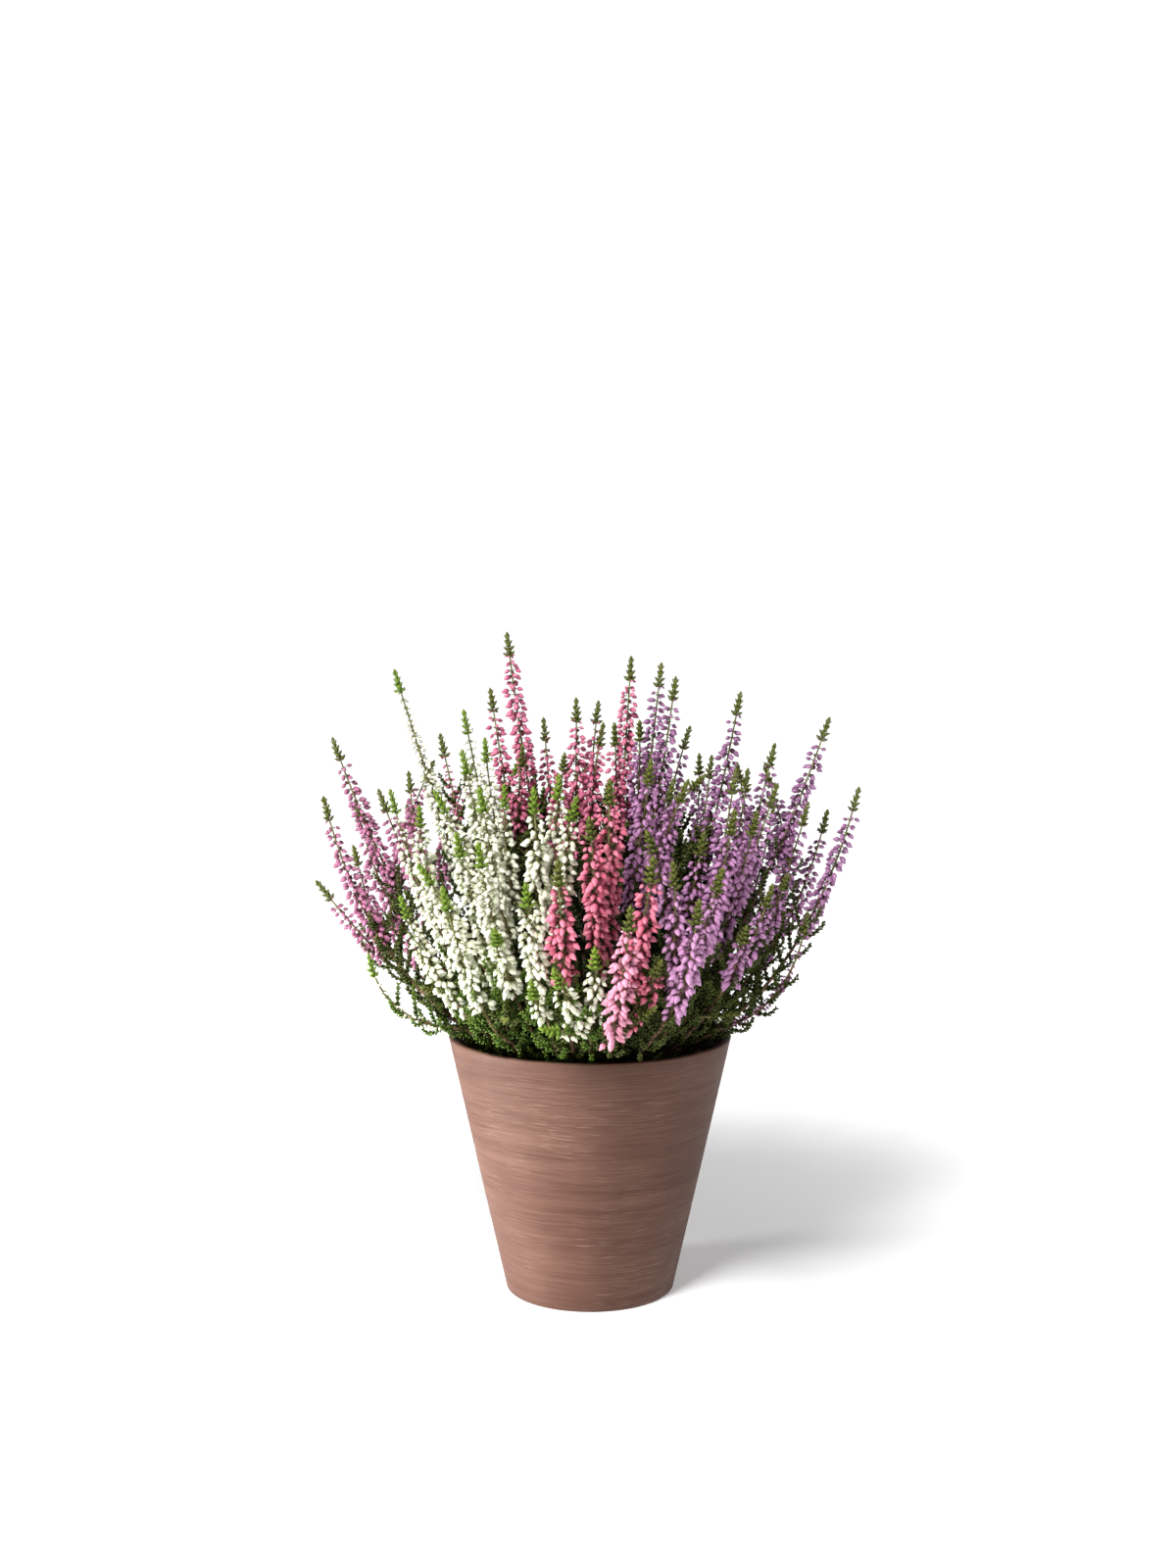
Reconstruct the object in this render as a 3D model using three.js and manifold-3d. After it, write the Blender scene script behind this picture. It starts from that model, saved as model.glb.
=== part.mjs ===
// Potted heath: four colours of heather planted together in one tapered clay pot.
// Millimetres, +Z up. The pot stands on z = 0 and its axis is the Z axis; the photo looks along +Y.
import * as THREE from 'three';
import Module from 'manifold-3d';

// Driving dimensions of the pot and of the soil in it.
const POT_HEIGHT = 118;
const RIM_RADIUS = 65;
const BASE_RADIUS = 38.6;
const POT_WALL = 3.5;
const POT_FLOOR = 4;
const POT_SIDES = 48;
const FIT_GAP = 0.3;
const SOIL_TOP = 109;

// Driving dimensions of a shoot.
const FOOT_DEPTH = 9;
const STEM_RADIUS = 1.3;
const TIP_LENGTH = 12;
const COLLAR_RISE = 1.5;
const FOOT_SHARE = 0.32;
const FOOT_LIMIT = 45;

// Arch of a shoot: outer shoots run out low over the rim and then rise, inner ones stand straight.
const BOW_FROM = 50;
const BOW_TO = 112;
const BOW_MOST = 0.6;
const STRAIGHT = { outward: 0.5, upward: 0.42 };
const BOWED = { outward: 0.9, upward: 0.15 };
const BRANCH_LEAD = 0.4;

// Shoots as they stand in the photo. Each line is one spray, and each bracket in it one shoot:
// tip x, tip y, tip z, flowering length, reach of the buds, the length at the top with small buds, and
// how far the stem runs out low over the rim before it rises, from 0 to 1, where the rule is not used.
// The first shoot of a spray has the foot in the soil and the others branch from it.
const MAUVE_SPRAYS = [
  [[-118, 5, 254, 62, 4.4, 0, 0.25]],
  [[-119, -20, 229, 60, 4.4], [-110, 15, 203, 38, 4.2]],
  [[-95, -15, 232, 50, 4.6, 0, 0.2], [-85, 25, 237, 45, 3.4]],
  [[-124, -10, 190, 36, 4.2, 0, 0.15]],
];
const WHITE_SPRAYS = [
  [[-90, 10, 285, 100, 4.8, 38, 0]],
  [[-57, -5, 267, 75, 4.6, 14], [-47, -20, 255, 78, 4.8, 10]],
  [[-56, -45, 251, 75, 5.2], [-68, -35, 233, 62, 5.2]],
  [[-88, -30, 233, 75, 4.6, 12], [-73, -55, 228, 70, 5.0]],
  [[-46, -65, 237, 66, 5.4], [-37, -50, 237, 52, 5.0]],
  [[-57, -75, 218, 62, 5.6], [-72, -70, 205, 58, 5.4]],
  [[-81, -60, 190, 50, 5.2]],
  [[-99, -24, 159, 40, 3.0, 40, 1]],
  [[-46, -88, 215, 58, 5.8], [-39, -97, 181, 32, 6.2]],
  [[-26, -105, 199, 42, 6.4], [-23, -95, 161, 14, 6.0]],
  [[-21, -82, 238, 56, 6.0], [-13, -65, 242, 50, 5.6], [-6, -80, 234, 40, 5.4]],
  [[-4, -103, 170, 32, 6.6], [-13, -105, 166, 24, 6.2], [-14, -90, 144, 10, 6.0]],
  [[-61, -85, 197, 52, 5.6]],
];
const PINK_SPRAYS = [
  [[-39, 20, 302, 76, 5.0]],
  [[-47, 30, 276, 66, 4.6], [-30, 0, 251, 48, 4.6]],
  [[-22, 35, 262, 52, 4.6], [-11, -20, 248, 50, 4.8]],
  [[-5, 10, 272, 62, 5.0], [4, 30, 270, 55, 4.6], [6, 0, 261, 46, 4.6]],
  [[19, 15, 291, 70, 5.0], [11, -10, 261, 50, 4.8]],
  [[-70, 22, 255, 30, 3.4, 30]],
  [[7, -85, 240, 76, 6.6], [0, -95, 227, 60, 6.4]],
  [[-13, -108, 210, 46, 6.8]],
  [[27, -105, 210, 50, 6.8], [31, -97, 168, 18, 6.2]],
  [[16, -112, 193, 60, 6.6], [27, -90, 152, 10, 5.2]],
];
const LILAC_SPRAYS = [
  [[33, 15, 288, 62, 4.8], [22, -25, 263, 56, 5.0]],
  [[39, -5, 282, 58, 4.8], [46, 10, 259, 46, 4.6], [50, -34, 239, 46, 5.0]],
  [[69, 10, 275, 66, 4.8], [57, 20, 245, 32, 4.4]],
  [[83, -5, 252, 56, 4.8], [71, -15, 241, 52, 5.0]],
  [[60, -75, 228, 54, 5.8], [63, -45, 243, 58, 5.2]],
  [[71, -60, 226, 56, 5.6], [82, -35, 236, 46, 5.0]],
  [[110, 10, 263, 64, 4.8, 0, 0.15]],
  [[98, -15, 226, 46, 4.6], [86, -45, 197, 32, 4.8]],
  [[122, -5, 232, 60, 4.6]],
  [[97, -24, 178, 54, 3.0, 54, 1]],
  [[28, -65, 248, 58, 5.6], [36, -50, 239, 52, 5.2], [41, -64, 240, 50, 5.2]],
  [[48, -70, 218, 44, 5.6], [23, -90, 220, 36, 6.0]],
  [[42, -105, 196, 48, 6.6], [53, -95, 206, 46, 6.2], [34, -95, 208, 44, 5.6]],
  [[77, -65, 195, 28, 5.4], [65, -82, 180, 26, 6.2]],
];

// The side away from the photo: columns of three shoots on the same dome, coloured by the plant behind.
const BACK_COLOURS = ['lilac', 'lilac', 'lilac', 'pink', 'pink', 'white', 'mauve', 'mauve'];
const BACK_FIRST_ANGLE = 16;
const BACK_ANGLE_STEP = 21;
const BACK_TIERS = [
  { radius: 114, height: 218, turn: 0, flowering: 52, reach: 4.8 },
  { radius: 102, height: 180, turn: 8, flowering: 34, reach: 5.0 },
  { radius: 84, height: 238, turn: -8, flowering: 52, reach: 4.8 },
];

// How far the tips of these and of the flowerless shoots are off their circles, drawn from numbered seeds.
const SCATTER = { turn: 5, radius: 8, height: 14, bunchHeight: 12 };
const SEEDS = {
  radius: 50,
  height: 90,
  bunch: 200,
  bunchHeight: 70,
  backInner: 300,
  innerHeight: 80,
  bunchInner: 400,
};

// Short flowerless shoots round the rim, two in a bunch.
const LEAFY_BUNCHES = 9;
const LEAFY_FIRST_ANGLE = -84;
const LEAFY_TIPS = [
  { radius: 76, height: 158, turn: -8 },
  { radius: 84, height: 141, turn: 9 },
];

// Flowerless shoots inside the dome: they rise from the foot of the hidden sprays and of the leafy bunches.
const BACK_INNER = [
  { radius: 34, height: 218, turn: 7 },
  { radius: 60, height: 198, turn: -4 },
];
const LEAFY_INNER = [{ radius: 44, height: 204, turn: 0 }];
const INNER_JOINTS = [3, 5];
const INNER_LEAD = 0.5;

// Relief of a shoot: distance between rings of buds or leaves, how far they stand out and hang or rise.
const BUD_PITCH = 7.8;
const LEAF_PITCH = 19;
const SHORT_LEAF_PITCH = 13;
const INNER_LEAF_PITCH = 26;
const BUD_DROOP = -1.8;
const SMALL_BUD_REACH = 2.6;
const LEAF_REACH = 4.2;
const LEAF_RISE = 4.5;
const SPIKE_VALLEY = 1.5;
const LEAF_VALLEY = 1.15;
const SMALL_VALLEY = 1.1;
const TIP_LEAVES = { share: 0.55, reach: 2.8, valley: 1, lift: 3 };
const BARE_FOOT = 6;
const BARE_FORK = 5;
const FORK_RADIUS = 0.9;
const SPIKE_TAPER = 14;
const DIRECTION_STEP = 3;
const SHRINK_STEP = 0.1;
const SMALLEST_SHARE = 0.2;
const RING_CORNERS = 4;
const RING_TWIST = 9;

// Bending clear: samples on a shoot, rounds, and the distance to a neighbour that each part asks for.
const SAMPLES = 24;
const ROUNDS = 70;
const STEM_ROOM = 3.3;
const INNER_ROOM = 4;
const SPIKE_ROOM_SHARE = 0.92;
const PUSH_SHARE = 0.3;
const TIP_HOLD = 0.4;
const BRANCH_SAMPLES = [9, 12];
const FORK_SAMPLES = 26;
const RIM_CLEARANCE = 5;
const RIM_BAND = 3;
const SURFACE_MARGIN = 1.5;
const CLOUD_STEP = 2;
const NEIGHBOUR_MARGIN = 1.4;

const wasm = await Module();
wasm.setup();

const radians = (degrees) => degrees * Math.PI / 180;

// A repeatable number from 0 to 1 for a whole number.
function draw(seed) {
  const value = Math.sin(seed * 12.9898 + 4.1414) * 43758.5453;
  return value - Math.floor(value);
}

function scatter(seed, range) {
  return range * (draw(seed) - 0.5);
}

function onCircle(radius, degrees, height) {
  return [radius * Math.cos(radians(degrees)), radius * Math.sin(radians(degrees)), height];
}

// Layout: every spray as a name, a colour and its shoots.
function backSpray(column) {
  return BACK_TIERS.map((tier, index) => {
    const seed = column * BACK_TIERS.length + index;
    const angle = BACK_FIRST_ANGLE + BACK_ANGLE_STEP * column + tier.turn + scatter(seed, SCATTER.turn);
    const radius = tier.radius + scatter(seed + SEEDS.radius, SCATTER.radius);
    const height = tier.height + scatter(seed + SEEDS.height, SCATTER.height);
    return [...onCircle(radius, angle, height), tier.flowering, tier.reach];
  });
}

function leafyBunch(index) {
  return LEAFY_TIPS.map((tier, place) => {
    const seed = SEEDS.bunch + index * LEAFY_TIPS.length + place;
    const angle = LEAFY_FIRST_ANGLE + 360 / LEAFY_BUNCHES * index + tier.turn;
    const radius = tier.radius + scatter(seed, SCATTER.radius);
    const height = tier.height + scatter(seed + SEEDS.bunchHeight, SCATTER.bunchHeight);
    return [...onCircle(radius, angle, height), 0, 0];
  });
}

function innerRows(tiers, angle, seed) {
  return tiers.map((tier, place) => {
    const number = seed + place;
    const radius = tier.radius + scatter(number, SCATTER.radius);
    const height = tier.height + scatter(number + SEEDS.innerHeight, SCATTER.height);
    return [...onCircle(radius, angle + tier.turn, height), 0, 0];
  });
}

function layout() {
  const alone = (rows) => rows.map((shoots) => ({ shoots, inner: [] }));
  const lists = {
    mauve: alone(MAUVE_SPRAYS),
    white: alone(WHITE_SPRAYS),
    pink: alone(PINK_SPRAYS),
    lilac: alone(LILAC_SPRAYS),
    leafy: [],
  };
  BACK_COLOURS.forEach((colour, column) => {
    const seed = SEEDS.backInner + BACK_INNER.length * column;
    const inner = innerRows(BACK_INNER, BACK_FIRST_ANGLE + BACK_ANGLE_STEP * column, seed);
    lists[colour].push({ shoots: backSpray(column), inner });
  });
  for (let index = 0; index < LEAFY_BUNCHES; index += 1) {
    const angle = LEAFY_FIRST_ANGLE + 360 / LEAFY_BUNCHES * index;
    const inner = innerRows(LEAFY_INNER, angle, SEEDS.bunchInner + index);
    lists.leafy.push({ shoots: leafyBunch(index), inner });
  }
  const sprays = [];
  for (const [colour, list] of Object.entries(lists)) {
    const noun = colour === 'leafy' ? 'bunch' : 'spray';
    list.forEach((spray, index) => {
      sprays.push({ name: `${colour}_${noun}_${String(index + 1).padStart(2, '0')}`, colour, ...spray });
    });
  }
  return sprays;
}

// Centre-lines: an arch from the foot or from the branching point to the tip, as a row of samples.
function arch(start, middle, end) {
  const points = [];
  for (let k = 0; k < SAMPLES; k += 1) {
    const t = k / (SAMPLES - 1);
    const near = start.clone().multiplyScalar((1 - t) * (1 - t));
    near.addScaledVector(middle, 2 * t * (1 - t));
    near.addScaledVector(end, t * t);
    points.push(near);
  }
  return points;
}

function mainShoot(tip, stated) {
  const radius = Math.max(1, Math.hypot(tip.x, tip.y));
  const bow = stated ?? BOW_MOST * THREE.MathUtils.clamp((radius - BOW_FROM) / (BOW_TO - BOW_FROM), 0, 1);
  const spread = Math.min(FOOT_SHARE, FOOT_LIMIT / radius);
  const foot = new THREE.Vector3(tip.x * spread, tip.y * spread, SOIL_TOP);
  const outward = THREE.MathUtils.lerp(STRAIGHT.outward, BOWED.outward, bow);
  const upward = THREE.MathUtils.lerp(STRAIGHT.upward, BOWED.upward, bow);
  const middle = new THREE.Vector3(
    foot.x + outward * (tip.x - foot.x),
    foot.y + outward * (tip.y - foot.y),
    foot.z + upward * (tip.z - foot.z),
  );
  return arch(foot, middle, tip);
}

function branchShoot(main, joint, tip) {
  const start = main.points[joint].clone();
  const along = main.points[joint + 1].clone().sub(main.points[joint - 1]).normalize();
  const middle = start.clone().addScaledVector(along, BRANCH_LEAD * start.distanceTo(tip));
  return arch(start, middle, tip);
}

// An inner shoot rises straight up from low on the main shoot before it leans to its tip.
function innerShoot(main, joint, tip) {
  const start = main.points[joint].clone();
  const middle = start.clone();
  middle.z = THREE.MathUtils.lerp(start.z, tip.z, INNER_LEAD);
  return arch(start, middle, tip);
}

function centreLines(sprays) {
  const lines = [];
  sprays.forEach((spray, node) => {
    const first = lines.length;
    const start = { node, main: first, inner: false };
    spray.shoots.forEach((row, index) => {
      const tip = new THREE.Vector3(row[0], row[1], row[2]);
      const bloom = { flowering: row[3], reach: row[4], small: row[5] ?? 0 };
      if (index === 0) {
        lines.push({ ...start, main: -1, joint: -1, points: mainShoot(tip, row[6]), ...bloom });
      } else {
        const joint = BRANCH_SAMPLES[index - 1];
        lines.push({ ...start, joint, points: branchShoot(lines[first], joint, tip), ...bloom });
      }
    });
    spray.inner.forEach((row, index) => {
      const joint = INNER_JOINTS[index];
      const points = innerShoot(lines[first], joint, new THREE.Vector3(row[0], row[1], row[2]));
      lines.push({ ...start, inner: true, joint, points, flowering: 0, reach: 0, small: 0 });
    });
  });
  return lines;
}

// Distance from each sample to the tip, measured along the shoot.
function fromTip(points) {
  const lengths = new Array(points.length).fill(0);
  for (let k = points.length - 2; k >= 0; k -= 1) {
    lengths[k] = lengths[k + 1] + points[k].distanceTo(points[k + 1]);
  }
  return lengths;
}

// Shoots that come too near each other are bent clear, a little in every round.
function bendClear(lines) {
  const samples = [];
  lines.forEach((line, index) => {
    const lengths = fromTip(line.points);
    line.start = line.points.map((point) => point.clone());
    line.points.forEach((point, k) => {
      const inSpike = lengths[k] < TIP_LENGTH + line.flowering && line.flowering > 0;
      const bare = line.inner ? INNER_ROOM : STEM_ROOM;
      const room = inSpike ? Math.max(STEM_ROOM, line.reach * SPIKE_ROOM_SHARE) : bare;
      const { node, inner } = line;
      samples.push({ line: index, node, inner, k, point, room, push: new THREE.Vector3() });
    });
  });
  const away = new THREE.Vector3();
  for (let round = 0; round < ROUNDS; round += 1) {
    for (const sample of samples) sample.push.set(0, 0, 0);
    for (let a = 0; a < samples.length; a += 1) {
      for (let b = a + 1; b < samples.length; b += 1) {
        pushApart(samples[a], samples[b], away);
      }
    }
    for (const sample of samples) {
      const hold = sample.k === SAMPLES - 1 ? TIP_HOLD : 1;
      if (sample.k === 0) sample.push.z = 0;
      sample.point.addScaledVector(sample.push, hold);
    }
    for (const line of lines) settle(line, lines);
  }
}

// Two shoots give way alike, but an inner one gives way to the others alone.
function pushApart(one, other, away) {
  if (one.line === other.line) return;
  if (one.node === other.node && one.k + other.k < FORK_SAMPLES) return;
  const need = one.room + other.room;
  away.subVectors(other.point, one.point);
  const distance = away.length();
  if (distance >= need || distance < 1e-6) return;
  away.multiplyScalar(PUSH_SHARE * (need - distance) / distance);
  if (other.inner || !one.inner) other.push.addScaledVector(away, one.inner === other.inner ? 1 : 2);
  if (one.inner || !other.inner) one.push.addScaledVector(away, one.inner === other.inner ? -1 : -2);
}

// After each round a shoot keeps its smooth arch, its foot in the soil and its stem above the rim.
function settle(line, lines) {
  const moved = line.points.map((point, k) => point.clone().sub(line.start[k]));
  for (let k = 0; k < SAMPLES; k += 1) {
    const before = moved[Math.max(0, k - 1)];
    const after = moved[Math.min(SAMPLES - 1, k + 1)];
    const even = before.clone().add(after).multiplyScalar(0.5);
    const step = moved[k].clone().lerp(even, 0.5);
    if (k === 0) step.z = 0;
    line.points[k].addVectors(line.start[k], step);
  }
  const foot = line.points[0];
  if (line.main < 0) {
    const spread = Math.hypot(foot.x, foot.y);
    if (spread > FOOT_LIMIT) foot.multiply(new THREE.Vector3(FOOT_LIMIT / spread, FOOT_LIMIT / spread, 1));
  } else {
    foot.copy(lines[line.main].points[line.joint]);
  }
  for (const point of line.points) {
    const nearRim = Math.hypot(point.x, point.y) > RIM_RADIUS - POT_WALL - RIM_CLEARANCE;
    if (nearRim) point.z = Math.max(point.z, POT_HEIGHT + RIM_CLEARANCE);
  }
}

// A shoot's surface: rings of four corners, two of them drawn out as buds or leaves, the next ring turned.
function pointAt(line, lengths, distance) {
  let k = 0;
  while (k < SAMPLES - 2 && lengths[k + 1] > distance) k += 1;
  const share = (lengths[k] - distance) / (lengths[k] - lengths[k + 1]);
  return line.points[k].clone().lerp(line.points[k + 1], THREE.MathUtils.clamp(share, 0, 1));
}

function directionAt(line, lengths, distance) {
  const above = pointAt(line, lengths, Math.max(0, distance - DIRECTION_STEP));
  const below = pointAt(line, lengths, Math.min(lengths[0], distance + DIRECTION_STEP));
  return above.sub(below).normalize();
}

// Rings from the lowest to the highest, each as distance from the tip, reach, valley radius and lift.
function rings(line, lengths) {
  const total = lengths[0];
  const lowest = total - (line.main < 0 ? BARE_FOOT : BARE_FORK);
  const flowering = Math.min(line.flowering, lowest - TIP_LENGTH - BARE_FORK);
  const spikeEnd = TIP_LENGTH + flowering;
  const list = [];
  let leafPitch = line.flowering > 0 ? LEAF_PITCH : SHORT_LEAF_PITCH;
  if (line.inner) leafPitch = INNER_LEAF_PITCH;
  const leafRings = Math.max(1, Math.round((lowest - spikeEnd) / leafPitch));
  for (let i = 0; i < leafRings; i += 1) {
    const distance = lowest - (lowest - spikeEnd) * i / leafRings;
    list.push({ distance, reach: LEAF_REACH, valley: LEAF_VALLEY, lift: LEAF_RISE });
  }
  if (line.flowering > 0) {
    const budRings = Math.max(2, Math.round(flowering / BUD_PITCH));
    for (let i = 0; i <= budRings; i += 1) {
      const distance = spikeEnd - flowering * i / budRings;
      const small = distance < TIP_LENGTH + line.small;
      const taper = Math.min(1, 0.7 + 0.3 * (distance - TIP_LENGTH) / SPIKE_TAPER);
      const reach = small ? SMALL_BUD_REACH : line.reach * taper;
      list.push({ distance, reach, valley: small ? SMALL_VALLEY : SPIKE_VALLEY, lift: BUD_DROOP });
    }
  }
  list.push({ distance: TIP_LENGTH * TIP_LEAVES.share, ...TIP_LEAVES });
  return list;
}

// True where a corner lies above the rim and clearly nearer to its own spray than to any other.
function isClear(corner, node, cloud) {
  const overRim = Math.hypot(corner.x, corner.y) > RIM_RADIUS - POT_WALL - RIM_BAND;
  if (corner.z < (overRim ? POT_HEIGHT : SOIL_TOP) + SURFACE_MARGIN) return false;
  let own = Infinity;
  let other = Infinity;
  for (const item of cloud) {
    const distance = item.point.distanceToSquared(corner);
    if (item.node === node) own = Math.min(own, distance);
    else other = Math.min(other, distance);
  }
  return Math.sqrt(other) - Math.sqrt(own) > NEIGHBOUR_MARGIN;
}

function ringCorners(line, lengths, ring, index, cloud) {
  const centre = pointAt(line, lengths, ring.distance);
  const along = directionAt(line, lengths, ring.distance);
  const across = new THREE.Vector3().crossVectors(along, new THREE.Vector3(0, 1, 0)).normalize();
  const over = new THREE.Vector3().crossVectors(along, across);
  const corners = [];
  for (let j = 0; j < RING_CORNERS; j += 1) {
    const angle = radians(360 / RING_CORNERS * j + RING_TWIST * index);
    const out = across.clone().multiplyScalar(Math.cos(angle)).addScaledVector(over, Math.sin(angle));
    const raised = (index + j) % 2 === 0;
    let share = 1;
    let corner = centre.clone().addScaledVector(out, ring.valley);
    while (raised && share > SMALLEST_SHARE) {
      const reach = ring.valley + (ring.reach - ring.valley) * share;
      corner = centre.clone().addScaledVector(out, reach).addScaledVector(along, ring.lift * share);
      if (isClear(corner, line.node, cloud)) break;
      share -= SHRINK_STEP;
    }
    corners.push(corner);
  }
  return corners;
}

function shootSolid(line, cloud) {
  const lengths = fromTip(line.points);
  const corners = [];
  if (line.main < 0) {
    const foot = line.points[0];
    for (const height of [SOIL_TOP - FOOT_DEPTH, SOIL_TOP + COLLAR_RISE]) {
      for (let j = 0; j < RING_CORNERS; j += 1) {
        const angle = radians(360 / RING_CORNERS * j);
        corners.push(new THREE.Vector3(
          foot.x + STEM_RADIUS * Math.cos(angle),
          foot.y + STEM_RADIUS * Math.sin(angle),
          height,
        ));
      }
    }
  } else {
    const fork = { distance: lengths[0], reach: FORK_RADIUS, valley: FORK_RADIUS, lift: 0 };
    corners.push(...ringCorners(line, lengths, fork, 0, cloud));
  }
  const list = rings(line, lengths);
  list.forEach((ring, index) => corners.push(...ringCorners(line, lengths, ring, index, cloud)));
  corners.push(line.points[SAMPLES - 1].clone());
  const plain = line.main < 0 ? 2 : 1;
  return manifoldOf(corners, shootFaces(list.length, plain));
}

function shootFaces(ringCount, plain) {
  const faces = [[0, 2, 1], [0, 3, 2]];
  const total = ringCount + plain;
  for (let i = 0; i + 1 < total; i += 1) {
    for (let j = 0; j < RING_CORNERS; j += 1) {
      const next = (j + 1) % RING_CORNERS;
      const low = RING_CORNERS * i;
      const high = low + RING_CORNERS;
      const raised = (i - plain + j) % 2 === 0;
      if (raised) faces.push([low + j, low + next, high + j], [low + next, high + next, high + j]);
      else faces.push([low + j, low + next, high + next], [low + j, high + next, high + j]);
    }
  }
  const top = RING_CORNERS * (total - 1);
  const apex = top + RING_CORNERS;
  for (let j = 0; j < RING_CORNERS; j += 1) faces.push([top + j, top + (j + 1) % RING_CORNERS, apex]);
  return faces;
}

// Solids: the joining and cutting is done on closed bodies.
function manifoldOf(corners, faces) {
  const vertProperties = new Float32Array(corners.length * 3);
  corners.forEach((corner, index) => corner.toArray(vertProperties, index * 3));
  const triVerts = new Uint32Array(faces.flat());
  return new wasm.Manifold(new wasm.Mesh({ numProp: 3, vertProperties, triVerts }));
}

function manifoldOfGeometry(geometry) {
  const position = geometry.getAttribute('position');
  const corners = [];
  const places = new Map();
  const index = [];
  for (let i = 0; i < position.count; i += 1) {
    const corner = new THREE.Vector3().fromBufferAttribute(position, i);
    const key = corner.toArray().map((value) => Math.round(value * 1e4)).join(' ');
    if (!places.has(key)) {
      places.set(key, corners.length);
      corners.push(corner);
    }
    index.push(places.get(key));
  }
  const faces = [];
  const order = geometry.getIndex().array;
  for (let i = 0; i < order.length; i += 3) {
    const face = [index[order[i]], index[order[i + 1]], index[order[i + 2]]];
    if (new Set(face).size === 3) faces.push(face);
  }
  return manifoldOf(corners, faces);
}

// The largest shell of a joined body: hollows sealed by the joining are filled and loose scraps dropped.
function largestShell(triangles, cornerCount) {
  const parent = Array.from({ length: cornerCount }, (unused, i) => i);
  const root = (i) => {
    let at = i;
    while (parent[at] !== at) at = parent[at];
    parent[i] = at;
    return at;
  };
  for (let i = 0; i < triangles.length; i += 3) {
    parent[root(triangles[i + 1])] = root(triangles[i]);
    parent[root(triangles[i + 2])] = root(triangles[i]);
  }
  const shells = new Map();
  for (let i = 0; i < triangles.length; i += 3) {
    const key = root(triangles[i]);
    if (!shells.has(key)) shells.set(key, []);
    shells.get(key).push(triangles[i], triangles[i + 1], triangles[i + 2]);
  }
  return [...shells.values()].sort((a, b) => b.length - a.length)[0];
}

function geometryOf(solid) {
  const mesh = solid.getMesh();
  const shell = largestShell(mesh.triVerts, mesh.vertProperties.length / 3);
  const geometry = new THREE.BufferGeometry();
  geometry.setAttribute('position', new THREE.BufferAttribute(new Float32Array(mesh.vertProperties), 3));
  geometry.setIndex(new THREE.BufferAttribute(new Uint32Array(shell), 1));
  geometry.computeVertexNormals();
  return geometry;
}

// Pot: a straight taper with a flat rim and a flat base.
function potRadius(height) {
  return BASE_RADIUS + (RIM_RADIUS - BASE_RADIUS) * height / POT_HEIGHT;
}

function turned(profile) {
  const points = profile.map(([radius, height]) => new THREE.Vector2(radius, height));
  const geometry = new THREE.LatheGeometry(points, POT_SIDES);
  geometry.rotateX(Math.PI / 2);
  return manifoldOfGeometry(geometry);
}

function potSolid() {
  return turned([
    [0, 0],
    [potRadius(0), 0],
    [RIM_RADIUS, POT_HEIGHT],
    [RIM_RADIUS - POT_WALL, POT_HEIGHT],
    [potRadius(POT_FLOOR) - POT_WALL, POT_FLOOR],
    [0, POT_FLOOR],
  ]);
}

// Soil: fills the pot to a little below the rim, with a plain hole for every foot.
function soilSolid(lines) {
  const bottom = POT_FLOOR + FIT_GAP;
  let soil = turned([
    [0, bottom],
    [potRadius(bottom) - POT_WALL - FIT_GAP, bottom],
    [potRadius(SOIL_TOP) - POT_WALL - FIT_GAP, SOIL_TOP],
    [0, SOIL_TOP],
  ]);
  const holeRadius = STEM_RADIUS + FIT_GAP * Math.SQRT2;
  for (const line of lines.filter((item) => item.main < 0)) {
    const hole = new THREE.CylinderGeometry(holeRadius, holeRadius, FOOT_DEPTH + FIT_GAP + 2, RING_CORNERS);
    hole.rotateX(Math.PI / 2);
    hole.translate(line.points[0].x, line.points[0].y, SOIL_TOP + 1 - (FOOT_DEPTH + FIT_GAP) / 2);
    soil = soil.subtract(manifoldOfGeometry(hole));
  }
  return soil;
}

// Materials.
function material(colour, roughness) {
  return new THREE.MeshStandardMaterial({ color: new THREE.Color(colour), roughness, metalness: 0 });
}

const MATERIALS = {
  pot: material('#86604f', 0.55),
  soil: material('#2b1d14', 0.95),
  white: material('#eeeed8', 0.6),
  pink: material('#dc6a88', 0.6),
  lilac: material('#b27fb4', 0.6),
  mauve: material('#b4628f', 0.6),
  leafy: material('#3f5f22', 0.65),
};

function named(name, geometry, colour) {
  const mesh = new THREE.Mesh(geometry, MATERIALS[colour].clone());
  mesh.name = name;
  mesh.material.name = colour;
  return mesh;
}

// Assembly.
const sprays = layout();
const lines = centreLines(sprays);
bendClear(lines);

// Points along all centre-lines, against which the corners of the relief are kept clear.
const cloud = [];
for (const line of lines) {
  const lengths = fromTip(line.points);
  for (let distance = 0; distance < lengths[0]; distance += CLOUD_STEP) {
    cloud.push({ node: line.node, point: pointAt(line, lengths, distance) });
  }
}

const heath = new THREE.Group();
heath.name = 'potted_heath';
heath.add(named('pot', geometryOf(potSolid()), 'pot'));
heath.add(named('soil', geometryOf(soilSolid(lines)), 'soil'));
sprays.forEach((spray, node) => {
  const own = lines.filter((line) => line.node === node);
  let solid = shootSolid(own[0], cloud);
  for (const line of own.slice(1)) solid = solid.add(shootSolid(line, cloud));
  heath.add(named(spray.name, geometryOf(solid), spray.colour));
});

export default heath;
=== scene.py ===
# Potted heath: the looks of four colours of heather, planted together in one tapered clay pot.
import math
import random
import bmesh
import bpy
import numpy as np
from mathutils import Matrix, Vector, noise


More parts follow.
